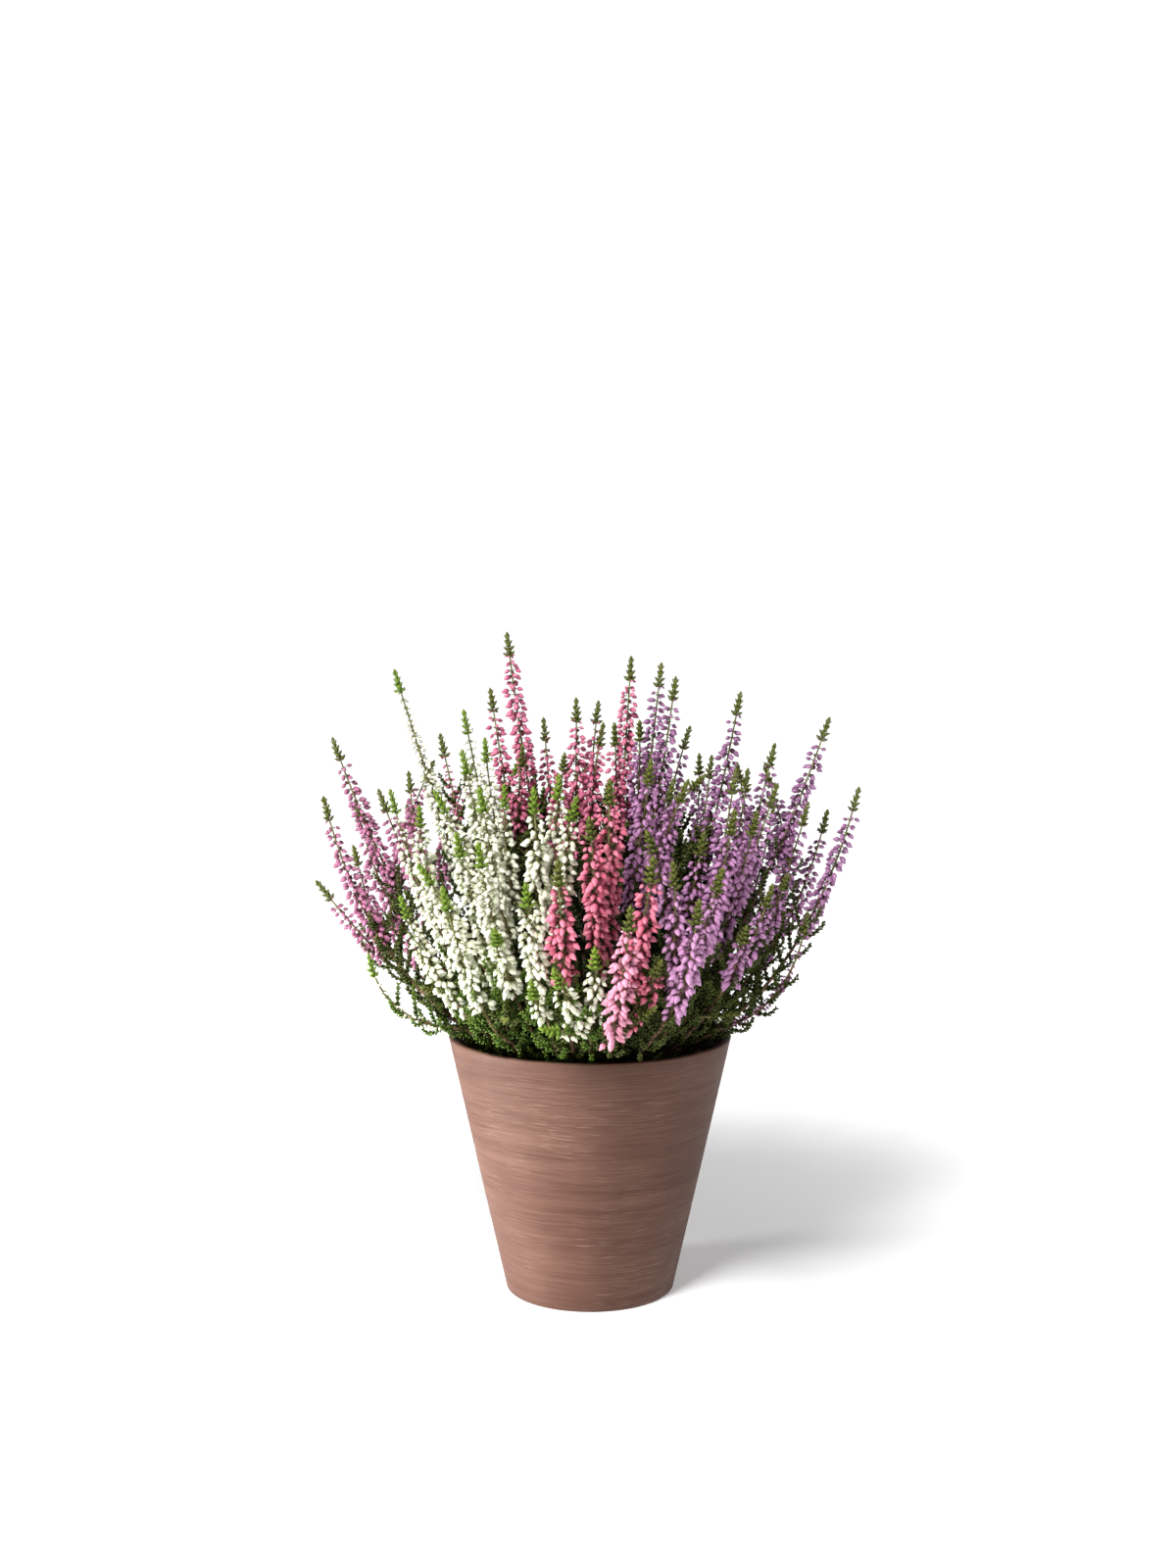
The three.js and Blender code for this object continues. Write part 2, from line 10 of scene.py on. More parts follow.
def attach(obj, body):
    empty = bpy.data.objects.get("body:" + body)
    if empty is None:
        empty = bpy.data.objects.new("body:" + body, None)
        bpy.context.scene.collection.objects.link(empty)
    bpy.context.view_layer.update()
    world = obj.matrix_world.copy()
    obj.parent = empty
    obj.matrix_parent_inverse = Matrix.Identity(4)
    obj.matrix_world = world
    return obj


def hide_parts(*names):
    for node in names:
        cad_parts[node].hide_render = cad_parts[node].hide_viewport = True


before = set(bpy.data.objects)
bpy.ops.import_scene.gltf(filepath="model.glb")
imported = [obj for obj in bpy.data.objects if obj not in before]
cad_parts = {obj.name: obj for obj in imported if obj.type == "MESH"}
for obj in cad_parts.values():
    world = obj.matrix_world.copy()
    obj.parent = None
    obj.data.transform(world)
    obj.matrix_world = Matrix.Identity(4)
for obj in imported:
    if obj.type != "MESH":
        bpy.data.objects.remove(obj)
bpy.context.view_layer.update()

# Camera.
# The photo looks at the plant from the front and a little above the rim, with the pot in the middle of a tall
# frame. All shapes are worked out in millimetres and brought to metres when a piece is finished.
MM = 0.001
PHOTO_HEIGHT = 1600
FOCAL_PIXELS = 1908
CAMERA_PLACE = Vector((-0.9, -850, 297.6))
CAMERA_DIP = 0.076

view = bpy.data.cameras.new("photo_view")
view.sensor_width = 36
view.lens = view.sensor_width * FOCAL_PIXELS / PHOTO_HEIGHT
view.clip_end = 20
camera = bpy.data.objects.new("photo_view", view)
camera.location = CAMERA_PLACE * MM
camera.rotation_euler = (math.pi / 2 - CAMERA_DIP, 0, 0)
bpy.context.scene.collection.objects.link(camera)
bpy.context.scene.camera = camera
bpy.context.scene.view_settings.view_transform = "Standard"

# Pot.
# One straight tapered pot of brown clay without a lip, turned and brushed round while soft, then fired
# unglazed. It is hollow, with a flat floor, a plain flat rim and edges that are only just blunted.
POT_HEIGHT = 118
RIM_RADIUS = 65
BASE_RADIUS = 38.6
POT_WALL = 3.5
POT_FLOOR = 4
POT_STEPS = 112
POT_RINGS = 48
RING_DEPTH = 0.11
RING_WAVE = 0.37
EDGE_ROUND = 0.7
RIM_ROUND_SHARE = 0.6
CLAY_DARK = (0.080, 0.031, 0.018)
CLAY_LIGHT = (0.136, 0.066, 0.045)
CLAY_FLECK = (0.27, 0.165, 0.12)


class Wire:
    """A socket of a material. Sums and products of wires are written as plain expressions."""

    def __init__(self, tree, socket=None):
        self.tree = tree
        self.socket = socket

    def node(self, kind, settings, inputs, output=0):
        made = self.tree.nodes.new("ShaderNode" + kind)
        for name, value in settings.items():
            if name == "stops":
                for stop, (position, shade) in zip(made.color_ramp.elements, value):
                    stop.position = position
                    stop.color = (shade, shade, shade, 1)
            else:
                setattr(made, name, value)
        for name, value in inputs.items():
            if isinstance(value, Wire):
                self.tree.links.new(value.socket, made.inputs[name])
            else:
                made.inputs[name].default_value = value
        return Wire(self.tree, made.outputs[output])

    def math(self, operation, one, other):
        return self.node("Math", {"operation": operation}, {0: one, 1: other})

    def __add__(self, other):
        return self.math("ADD", self, other)

    def __radd__(self, other):
        return self.math("ADD", other, self)

    def __sub__(self, other):
        return self.math("SUBTRACT", self, other)

    def __rsub__(self, other):
        return self.math("SUBTRACT", other, self)

    def __mul__(self, other):
        return self.math("MULTIPLY", self, other)

    def __rmul__(self, other):
        return self.math("MULTIPLY", other, self)

    def ramp(self, *stops):
        return self.node("ValToRGB", {"stops": stops}, {"Fac": self})

    def blend(self, first, second):
        """The first colour where this wire is 0, and the second where it is 1."""
        ends = {0: self}
        for place, colour in ((6, first), (7, second)):
            ends[place] = colour if isinstance(colour, Wire) else (*colour, 1)
        return self.node("Mix", {"data_type": "RGBA"}, ends, output=2)


def start_material(name, roughness):
    material = bpy.data.materials.new(name)
    material.use_nodes = True
    surface = material.node_tree.nodes["Principled BSDF"]
    surface.inputs["Roughness"].default_value = roughness
    return material, Wire(material.node_tree), surface


def feed(wire, surface, name):
    wire.tree.links.new(wire.socket, surface.inputs[name])


def object_place(wire):
    return wire.node("TexCoord", {}, {}, output="Object")


def stretched(wire, place, across, upright):
    """The place drawn out: few changes across and many upright, as a brush leaves them on a turned pot."""
    return wire.node("VectorMath", {"operation": "MULTIPLY"}, {0: place, 1: (across, across, upright)})


def clay_material():
    material, wire, surface = start_material("brushed_clay", 0.62)
    place = object_place(wire)
    sway = wire.node("TexNoise", {}, {"Vector": place, "Scale": 14, "Detail": 2})
    lift = wire.node("CombineXYZ", {}, {2: (sway - 0.5) * 0.006})
    swaying = wire.node("VectorMath", {"operation": "ADD"}, {0: place, 1: lift})
    hair = stretched(wire, swaying, 30, 1500)
    fine = wire.node("TexNoise", {}, {"Vector": hair, "Scale": 1, "Detail": 5, "Roughness": 0.7})
    wide = stretched(wire, swaying, 9, 230)
    bands = wire.node("TexNoise", {}, {"Vector": wide, "Scale": 1, "Detail": 3})
    cloud = wire.node("TexNoise", {}, {"Vector": place, "Scale": 22, "Detail": 3})
    thin = stretched(wire, swaying, 80, 3000)
    dashes = wire.node("TexNoise", {}, {"Vector": thin, "Scale": 1, "Detail": 2})
    strokes = fine * 0.55 + bands * 0.3 + cloud * 0.15
    body = strokes.ramp((0.40, 0), (0.60, 1)).blend(CLAY_DARK, CLAY_LIGHT)
    fleck = dashes.ramp((0.58, 0), (0.72, 1)) * cloud.ramp((0.42, 0), (0.60, 1))
    feed((fleck * 0.7).blend(body, CLAY_FLECK), surface, "Base Color")
    surface.inputs["Specular IOR Level"].default_value = 0.3
    feed(0.5 + fine * 0.25, surface, "Roughness")
    relief = fine * 0.6 + dashes * 0.4
    bump = wire.node("Bump", {}, {"Strength": 0.55, "Distance": 0.0004, "Height": relief})
    feed(bump, surface, "Normal")
    return material


def pot_radius(height):
    return BASE_RADIUS + (RIM_RADIUS - BASE_RADIUS) * height / POT_HEIGHT


def spun(profile, steps):
    """A closed body turned round the pot's axis from a profile of radius and height."""
    body = bmesh.new()
    corners = [body.verts.new((radius, 0, height)) for radius, height in profile]
    edges = [body.edges.new(pair) for pair in zip(corners, corners[1:])]
    bmesh.ops.spin(body, geom=corners + edges, cent=(0, 0, 0), axis=(0, 0, 1), angle=2 * math.pi,
                   steps=steps, use_merge=True)
    bmesh.ops.remove_doubles(body, verts=body.verts, dist=0.001)
    bmesh.ops.recalc_face_normals(body, faces=body.faces)
    return body


def finished(name, body, materials, slot, *nodes):
    """Brings a body to metres and makes it the piece that stands for these nodes."""
    bmesh.ops.scale(body, vec=(MM, MM, MM), verts=body.verts)
    mesh = bpy.data.meshes.new(name)
    body.to_mesh(mesh)
    body.free()
    for material in materials:
        mesh.materials.append(material)
    piece = bpy.data.objects.new(name, mesh)
    bpy.context.scene.collection.objects.link(piece)
    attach(piece, "root")
    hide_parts(*nodes)


outside = []
for ring in range(POT_RINGS + 1):
    height = EDGE_ROUND + (POT_HEIGHT - 2 * EDGE_ROUND) * ring / POT_RINGS
    groove = RING_DEPTH * (noise.noise(Vector((0, 0, height * RING_WAVE))) - 0.5)
    outside.append((pot_radius(height) + groove, height))
pot_profile = [(0, 0), (pot_radius(0) - EDGE_ROUND, 0), *outside]
pot_profile += [(RIM_RADIUS - EDGE_ROUND * RIM_ROUND_SHARE, POT_HEIGHT)]
pot_profile += [(RIM_RADIUS - POT_WALL + EDGE_ROUND, POT_HEIGHT)]
pot_profile += [(RIM_RADIUS - POT_WALL, POT_HEIGHT - EDGE_ROUND)]
pot_profile += [(pot_radius(POT_FLOOR) - POT_WALL, POT_FLOOR), (0, POT_FLOOR)]
pot_body = spun(pot_profile, POT_STEPS)
for face in pot_body.faces:
    face.smooth = True
finished("clay_pot", pot_body, [clay_material()], "pot", "pot")

# Soil.
# Dark damp peat, pressed in by hand to just under the rim: a lumpy top with loose crumbs and straw-coloured
# bits of twig. It shows only in the gaps between the shoots.
SOIL_TOP = 109
SOIL_GAP = 0.3
SOIL_STEPS = 56
SOIL_CIRCLES = 16
SOIL_LUMP = 1.6
LUMP_WAVE = 0.16
LUMP_EDGE = 0.5
CRUMBS = 420
CRUMB_SIZE = (0.5, 1.9)
CRUMB_WIDTH = (0.6, 1)
CRUMB_FLATNESS = (0.5, 0.9)
CRUMB_ROUGHNESS = 0.35
CRUMB_WAVE = 2
CRUMB_TONE = 0.85
CRUMB_SEED = 11
TWIGS = 70
TWIG_RADIUS = 0.3
TWIG_LENGTH = (4, 11)
TWIG_TILT = 1.45
TWIG_LIFT = 0.8
EDGE_ROOM = 3
FULL_TURN = 6.28
PEAT_DARK = (0.010, 0.006, 0.004)
PEAT_LIGHT = (0.060, 0.034, 0.019)
PEAT_STRAW = (0.20, 0.115, 0.055)


def add_layers(body):
    """What materials read at a corner: share of the length, tone of the piece and hue of the shoot, which on
    pink and lilac buds also carries painted shade towards the back.
    """
    for layer in ("along", "tone", "hue"):
        if layer not in body.verts.layers.float:
            body.verts.layers.float.new(layer)


class Form:
    """A small shape that is set many times, each time turned, sized and toned anew."""

    def __init__(self, name, body):
        for face in body.faces:
            face.smooth = True
        add_layers(body)
        self.mesh = bpy.data.meshes.new(name)
        body.to_mesh(self.mesh)
        body.free()
        self.places = np.empty(3 * len(self.mesh.vertices), np.float32)
        self.mesh.vertices.foreach_get("co", self.places)

    def put(self, body, matrix, tone=0.5, hue=0.5):
        count = len(self.mesh.vertices)
        self.mesh.vertices.foreach_set("co", self.places)
        self.mesh.transform(matrix)
        self.mesh.attributes["tone"].data.foreach_set("value", np.full(count, tone, np.float32))
        self.mesh.attributes["hue"].data.foreach_set("value", np.full(count, hue, np.float32))
        body.from_mesh(self.mesh)


def attribute(wire, name):
    return wire.node("Attribute", {"attribute_name": name}, {}, output="Fac")


def peat_material():
    material, wire, surface = start_material("damp_peat", 0.9)
    place = object_place(wire)
    grain = wire.node("TexNoise", {}, {"Vector": place, "Scale": 520, "Detail": 4})
    lumps = wire.node("TexNoise", {}, {"Vector": place, "Scale": 110, "Detail": 3})
    mixed = (grain * 0.6 + lumps * 0.4).ramp((0.38, 0), (0.66, 1)).blend(PEAT_DARK, PEAT_LIGHT)
    straw = attribute(wire, "tone").ramp((0.86, 0), (0.9, 1))
    feed(straw.blend(mixed, PEAT_STRAW), surface, "Base Color")
    feed(wire.node("Bump", {}, {"Strength": 0.8, "Distance": 0.0012, "Height": grain}), surface, "Normal")
    return material


def lump(spot):
    """How far the top of the peat rises or dips at a spot."""
    return SOIL_LUMP * noise.fractal(spot * LUMP_WAVE, 1.0, 2.0, 3)


def lumpy_top():
    bottom = POT_FLOOR + SOIL_GAP
    edge = pot_radius(SOIL_TOP) - POT_WALL - SOIL_GAP
    profile = [(0, bottom), (pot_radius(bottom) - POT_WALL - SOIL_GAP, bottom)]
    for circle in range(SOIL_CIRCLES):
        profile.append((edge * (1 - circle / SOIL_CIRCLES), SOIL_TOP))
    profile.append((0, SOIL_TOP))
    body = spun(profile, SOIL_STEPS)
    for corner in body.verts:
        if corner.co.z > SOIL_TOP - 1 and corner.co.xy.length < edge - LUMP_EDGE:
            corner.co.z += lump(corner.co)
    for face in body.faces:
        face.smooth = True
    return body


def crumb_form():
    body = bmesh.new()
    bmesh.ops.create_icosphere(body, subdivisions=1, radius=1)
    for corner in body.verts:
        corner.co *= 1 + CRUMB_ROUGHNESS * noise.noise(corner.co * CRUMB_WAVE)
    return Form("crumb", body)


def twig_form():
    body = bmesh.new()
    bmesh.ops.create_cone(body, segments=4, radius1=1, radius2=0.6, depth=1, cap_ends=True)
    return Form("twig", body)


def scatter_crumbs(body):
    crumb = crumb_form()
    twig = twig_form()
    chance = random.Random(CRUMB_SEED)
    edge = pot_radius(SOIL_TOP) - POT_WALL - EDGE_ROOM
    for count in range(CRUMBS + TWIGS):
        spread = edge * math.sqrt(chance.random())
        angle = chance.uniform(0, 2 * math.pi)
        spot = Vector((spread * math.cos(angle), spread * math.sin(angle), SOIL_TOP))
        spot.z += lump(spot)
        turn = Matrix.Rotation(chance.uniform(0, FULL_TURN), 4, "Z")
        turn = turn @ Matrix.Rotation(chance.uniform(0, FULL_TURN), 4, "X")
        if count < CRUMBS:
            size = chance.uniform(*CRUMB_SIZE)
            width = size * chance.uniform(*CRUMB_WIDTH)
            shape = Matrix.Diagonal((size, width, size * chance.uniform(*CRUMB_FLATNESS), 1))
            crumb.put(body, Matrix.Translation(spot) @ turn @ shape, tone=chance.random() * CRUMB_TONE)
        else:
            lying = Matrix.Rotation(chance.uniform(0, FULL_TURN), 4, "Z") @ Matrix.Rotation(TWIG_TILT, 4, "X")
            shape = Matrix.Diagonal((TWIG_RADIUS, TWIG_RADIUS, chance.uniform(*TWIG_LENGTH), 1))
            spot.z += TWIG_LIFT
            twig.put(body, Matrix.Translation(spot) @ lying @ shape, tone=1)


soil_body = lumpy_top()
add_layers(soil_body)
scatter_crumbs(soil_body)
finished("peat", soil_body, [peat_material()], "soil", "soil")

# Shoots: where they stand.
# Four young plants of bud-flowering heather, grown together into one dome that leans out over the rim. A
# line is one spray and a bracket one shoot: tip x, y and z, flowering length, reach of the buds, length at
# the top with small buds, and how far the stem runs out low before it rises.
MAUVE_SPRAYS = [
    [[-118, 5, 254, 62, 4.4, 0, 0.25]],
    [[-119, -20, 229, 60, 4.4], [-110, 15, 203, 38, 4.2]],
    [[-95, -15, 232, 50, 4.6, 0, 0.2], [-85, 25, 237, 45, 3.4]],
    [[-124, -10, 190, 36, 4.2, 0, 0.15]],
]
WHITE_SPRAYS = [
    [[-90, 10, 285, 100, 4.8, 38, 0]],
    [[-57, -5, 267, 75, 4.6, 14], [-47, -20, 255, 78, 4.8, 10]],
    [[-56, -45, 251, 75, 5.2], [-68, -35, 233, 62, 5.2]],
    [[-88, -30, 233, 75, 4.6, 12], [-73, -55, 228, 70, 5.0]],
    [[-46, -65, 237, 66, 5.4], [-37, -50, 237, 52, 5.0]],
    [[-57, -75, 218, 62, 5.6], [-72, -70, 205, 58, 5.4]],
    [[-81, -60, 190, 50, 5.2]],
    [[-99, -24, 159, 40, 3.0, 40, 1]],
    [[-46, -88, 215, 58, 5.8], [-39, -97, 181, 32, 6.2]],
    [[-26, -105, 199, 42, 6.4], [-23, -95, 161, 14, 6.0]],
    [[-21, -82, 238, 56, 6.0], [-13, -65, 242, 50, 5.6], [-6, -80, 234, 40, 5.4]],
    [[-4, -103, 170, 32, 6.6], [-13, -105, 166, 24, 6.2], [-14, -90, 144, 10, 6.0]],
    [[-61, -85, 197, 52, 5.6]],
]
PINK_SPRAYS = [
    [[-39, 20, 302, 76, 5.0]],
    [[-47, 30, 276, 66, 4.6], [-30, 0, 251, 48, 4.6]],
    [[-22, 35, 262, 52, 4.6], [-11, -20, 248, 50, 4.8]],
    [[-5, 10, 272, 62, 5.0], [4, 30, 270, 55, 4.6], [6, 0, 261, 46, 4.6]],
    [[19, 15, 291, 70, 5.0], [11, -10, 261, 50, 4.8]],
    [[-70, 22, 255, 30, 3.4, 30]],
    [[7, -85, 240, 76, 6.6], [0, -95, 227, 60, 6.4]],
    [[-13, -108, 210, 46, 6.8]],
    [[27, -105, 210, 50, 6.8], [31, -97, 168, 18, 6.2]],
    [[16, -112, 193, 60, 6.6], [27, -90, 152, 10, 5.2]],
]
LILAC_SPRAYS = [
    [[33, 15, 288, 62, 4.8], [22, -25, 263, 56, 5.0]],
    [[39, -5, 282, 58, 4.8], [46, 10, 259, 46, 4.6], [50, -34, 239, 46, 5.0]],
    [[69, 10, 275, 66, 4.8], [57, 20, 245, 32, 4.4]],
    [[83, -5, 252, 56, 4.8], [71, -15, 241, 52, 5.0]],
    [[60, -75, 228, 54, 5.8], [63, -45, 243, 58, 5.2]],
    [[71, -60, 226, 56, 5.6], [82, -35, 236, 46, 5.0]],
    [[110, 10, 263, 64, 4.8, 0, 0.15]],
    [[98, -15, 226, 46, 4.6], [86, -45, 197, 32, 4.8]],
    [[122, -5, 232, 60, 4.6]],
    [[97, -24, 178, 54, 3.0, 54, 1]],
    [[28, -65, 248, 58, 5.6], [36, -50, 239, 52, 5.2], [41, -64, 240, 50, 5.2]],
    [[48, -70, 218, 44, 5.6], [23, -90, 220, 36, 6.0]],
    [[42, -105, 196, 48, 6.6], [53, -95, 206, 46, 6.2], [34, -95, 208, 44, 5.6]],
    [[77, -65, 195, 28, 5.4], [65, -82, 180, 26, 6.2]],
]
BACK_COLOURS = ["lilac", "lilac", "lilac", "pink", "pink", "white", "mauve", "mauve"]
BACK_FIRST_ANGLE = 16
BACK_ANGLE_STEP = 21
BACK_TIERS = [
    {"radius": 114, "height": 218, "turn": 0, "flowering": 52, "reach": 4.8},
    {"radius": 102, "height": 180, "turn": 8, "flowering": 34, "reach": 5.0},
    {"radius": 84, "height": 238, "turn": -8, "flowering": 52, "reach": 4.8},
]
LEAFY_BUNCHES = 9
LEAFY_FIRST_ANGLE = -84
LEAFY_TIPS = [
    {"radius": 76, "height": 158, "turn": -8},
    {"radius": 84, "height": 141, "turn": 9},
]
BACK_INNER = [
    {"radius": 34, "height": 218, "turn": 7},
    {"radius": 60, "height": 198, "turn": -4},
]
LEAFY_INNER = [{"radius": 44, "height": 204, "turn": 0}]
INNER_JOINTS = [3, 5]
INNER_LEAD = 0.5
INNER_ROOM = 4
SCATTER = {"turn": 5, "radius": 8, "height": 14, "bunch_height": 12}
SEEDS = {"radius": 50, "height": 90, "bunch": 200, "bunch_height": 70, "back_inner": 300, "inner_height": 80,
         "bunch_inner": 400}
FOOT_SHARE = 0.32
FOOT_LIMIT = 45
FOOT_DEPTH = 5
BOW_FROM = 50
BOW_TO = 112
BOW_MOST = 0.6
STRAIGHT = {"outward": 0.5, "upward": 0.42}
BOWED = {"outward": 0.9, "upward": 0.15}
BRANCH_LEAD = 0.4
TIP_LENGTH = 12
SAMPLES = 24
ROUNDS = 70
STEM_ROOM = 3.3
SPIKE_ROOM_SHARE = 0.92
PUSH_SHARE = 0.3
TIP_HOLD = 0.4
BRANCH_SAMPLES = [9, 12]
FORK_SAMPLES = 26
RIM_CLEARANCE = 5
PAIR_SLACK = 9
PAIR_ROUNDS = 7
DIRECTION_SPAN = 3


def draw(seed):
    """A repeatable number from 0 to 1 for a whole number."""
    return (math.sin(seed * 12.9898 + 4.1414) * 43758.5453) % 1


def on_circle(radius, degrees, height):
    return [radius * math.cos(math.radians(degrees)), radius * math.sin(math.radians(degrees)), height]


def scatter(seed, reach):
    return reach * (draw(seed) - 0.5)


def back_spray(column):
    shoots = []
    for index, tier in enumerate(BACK_TIERS):
        seed = column * len(BACK_TIERS) + index
        angle = BACK_FIRST_ANGLE + BACK_ANGLE_STEP * column + tier["turn"] + scatter(seed, SCATTER["turn"])
        radius = tier["radius"] + scatter(seed + SEEDS["radius"], SCATTER["radius"])
        height = tier["height"] + scatter(seed + SEEDS["height"], SCATTER["height"])
        shoots.append(on_circle(radius, angle, height) + [tier["flowering"], tier["reach"]])
    return shoots


def leafy_bunch(index):
    shoots = []
    for place, tier in enumerate(LEAFY_TIPS):
        seed = SEEDS["bunch"] + index * len(LEAFY_TIPS) + place
        angle = LEAFY_FIRST_ANGLE + 360 / LEAFY_BUNCHES * index + tier["turn"]
        radius = tier["radius"] + scatter(seed, SCATTER["radius"])
        height = tier["height"] + scatter(seed + SEEDS["bunch_height"], SCATTER["bunch_height"])
        shoots.append(on_circle(radius, angle, height) + [0, 0])
    return shoots


def inner_rows(tiers, angle, seed):
    """Flowerless shoots inside the dome, which rise from the foot of a hidden spray or a leafy bunch."""
    rows = []
    for place, tier in enumerate(tiers):
        radius = tier["radius"] + scatter(seed + place, SCATTER["radius"])
        height = tier["height"] + scatter(seed + place + SEEDS["inner_height"], SCATTER["height"])
        rows.append(on_circle(radius, angle + tier["turn"], height) + [0, 0])
    return rows


def arch(start, middle, end, samples=SAMPLES):
    share = np.linspace(0, 1, samples)[:, None]
    return start * (1 - share) ** 2 + middle * 2 * share * (1 - share) + end * share ** 2


def main_arch(row):
    tip = np.array(row[:3], float)
    radius = max(1, math.hypot(tip[0], tip[1]))
    bow = row[6] if len(row) > 6 else BOW_MOST * min(1, max(0, (radius - BOW_FROM) / (BOW_TO - BOW_FROM)))
    spread = min(FOOT_SHARE, FOOT_LIMIT / radius)
    foot = np.array([tip[0] * spread, tip[1] * spread, SOIL_TOP])
    outward = STRAIGHT["outward"] * (1 - bow) + BOWED["outward"] * bow
    upward = STRAIGHT["upward"] * (1 - bow) + BOWED["upward"] * bow
    middle = foot + np.array([outward, outward, upward]) * (tip - foot)
    return arch(foot, middle, tip)


def branch_arch(main, joint, row):
    tip = np.array(row[:3], float)
    start = main[joint]
    along = main[joint + 1] - main[joint - 1]
    lead = BRANCH_LEAD * np.linalg.norm(tip - start) / np.linalg.norm(along)
    return arch(start, start + along * lead, tip)


def inner_arch(main, joint, row):
    tip = np.array(row[:3], float)
    start = main[joint]
    middle = start.copy()
    middle[2] += INNER_LEAD * (tip[2] - start[2])
    return arch(start, middle, tip)


class Shoot:
    """One stem from its foot or fork to its tip, with what grows on it."""

    def __init__(self, spray, main, joint, row, points, inner=False):
        self.spray = spray
        self.inner = inner
        self.main = main
        self.joint = joint
        self.points = points
        self.flowering = row[3]
        self.reach = row[4]
        self.small = row[5] if len(row) > 5 else 0
        self.tip = row[:3]

    def measure(self):
        steps = np.linalg.norm(np.diff(self.points, axis=0), axis=1)
        self.from_tip = np.concatenate([np.cumsum(steps[::-1])[::-1], [0]])
        self.length = self.from_tip[0]

    def frames(self, distances):
        """Place, direction to the tip and two square directions at each distance from the tip."""
        distances = np.asarray(distances, float)
        spots = self.at(distances)
        along = self.at(distances - DIRECTION_SPAN) - self.at(distances + DIRECTION_SPAN)
        along /= np.linalg.norm(along, axis=1)[:, None]
        across = np.cross(along, (0, 1, 0))
        across /= np.linalg.norm(across, axis=1)[:, None]
        over = np.cross(along, across)
        return [tuple(Vector(row) for row in rows) for rows in zip(spots, along, across, over)]

    def at(self, distances):
        clipped = np.clip(distances, 0, self.length)
        from_tip = self.from_tip[::-1]
        points = self.points[::-1]
        return np.stack([np.interp(clipped, from_tip, points[:, axis]) for axis in range(3)], axis=1)


def planted():
    """Every spray as name, colour and shoots, in the order in which the frame holds them."""
    seen = {"mauve": MAUVE_SPRAYS, "white": WHITE_SPRAYS, "pink": PINK_SPRAYS, "lilac": LILAC_SPRAYS}
    lists = {colour: [(rows, []) for rows in colour_rows] for colour, colour_rows in seen.items()}
    lists["leafy"] = []
    for column, colour in enumerate(BACK_COLOURS):
        seed = SEEDS["back_inner"] + len(BACK_INNER) * column
        inner = inner_rows(BACK_INNER, BACK_FIRST_ANGLE + BACK_ANGLE_STEP * column, seed)
        lists[colour].append((back_spray(column), inner))
    for index in range(LEAFY_BUNCHES):
        angle = LEAFY_FIRST_ANGLE + 360 / LEAFY_BUNCHES * index
        inner = inner_rows(LEAFY_INNER, angle, SEEDS["bunch_inner"] + index)
        lists["leafy"].append((leafy_bunch(index), inner))
    sprays = []
    shoots = []
    for colour, colour_rows in lists.items():
        noun = "bunch" if colour == "leafy" else "spray"
        for number, (rows, inner) in enumerate(colour_rows):
            first = len(shoots)
            sprays.append((f"{colour}_{noun}_{number + 1:02d}", colour))
            spray = len(sprays) - 1
            main = main_arch(rows[0])
            shoots.append(Shoot(spray, None, 0, rows[0], main))
            for joint, row in zip(BRANCH_SAMPLES, rows[1:]):
                shoots.append(Shoot(spray, first, joint, row, branch_arch(main, joint, row)))
            for joint, row in zip(INNER_JOINTS, inner):
                shoots.append(Shoot(spray, first, joint, row, inner_arch(main, joint, row), inner=True))
    return sprays, shoots


def near_pairs(points, room, line, node, sample):
    """Pairs of samples on different shoots that are near enough to matter in the next rounds."""
    square = (points ** 2).sum(axis=1)
    gaps = np.sqrt(np.maximum(0, square[:, None] + square[None] - 2 * points @ points.T))
    close = np.triu(gaps < room[:, None] + room[None] + PAIR_SLACK, 1)
    close &= line[:, None] != line[None]
    close &= ~((node[:, None] == node[None]) & (sample[:, None] + sample[None] < FORK_SAMPLES))
    return np.nonzero(close)


def bend_clear(shoots):
    """Shoots that come too near each other are bent clear, a little in every round.

    Of an inner shoot and another one, the inner one alone gives way.
    """
    count = len(shoots)
    start = np.array([shoot.points for shoot in shoots])
    points = start.copy()
    room = np.full((count, SAMPLES), STEM_ROOM, float)
    for index, shoot in enumerate(shoots):
        shoot.measure()
        if shoot.inner:
            room[index] = INNER_ROOM
        if shoot.flowering > 0:
            in_spike = shoot.from_tip < TIP_LENGTH + shoot.flowering
            room[index, in_spike] = max(STEM_ROOM, shoot.reach * SPIKE_ROOM_SHARE)
    room = room.ravel()
    line = np.repeat(np.arange(count), SAMPLES)
    inner = np.repeat([float(shoot.inner) for shoot in shoots], SAMPLES)
    node = np.repeat([shoot.spray for shoot in shoots], SAMPLES)
    sample = np.tile(np.arange(SAMPLES), count)
    for turn in range(ROUNDS):
        flat = points.reshape(-1, 3)
        if turn % PAIR_ROUNDS == 0:
            one, other = near_pairs(flat, room, line, node, sample)
        away = flat[other] - flat[one]
        gap = np.maximum(1e-6, np.linalg.norm(away, axis=1))
        need = room[one] + room[other]
        away *= (PUSH_SHARE * np.maximum(0, need - gap) / gap)[:, None]
        push = np.zeros_like(flat)
        np.add.at(push, other, away * (1 + inner[other] - inner[one])[:, None])
        np.add.at(push, one, -away * (1 + inner[one] - inner[other])[:, None])
        push = push.reshape(count, SAMPLES, 3)
        push[:, -1] *= TIP_HOLD
        push[:, 0, 2] = 0
        points = settled(points + push, start, shoots)
    for shoot, bent in zip(shoots, points):
        shoot.points = bent
        shoot.measure()


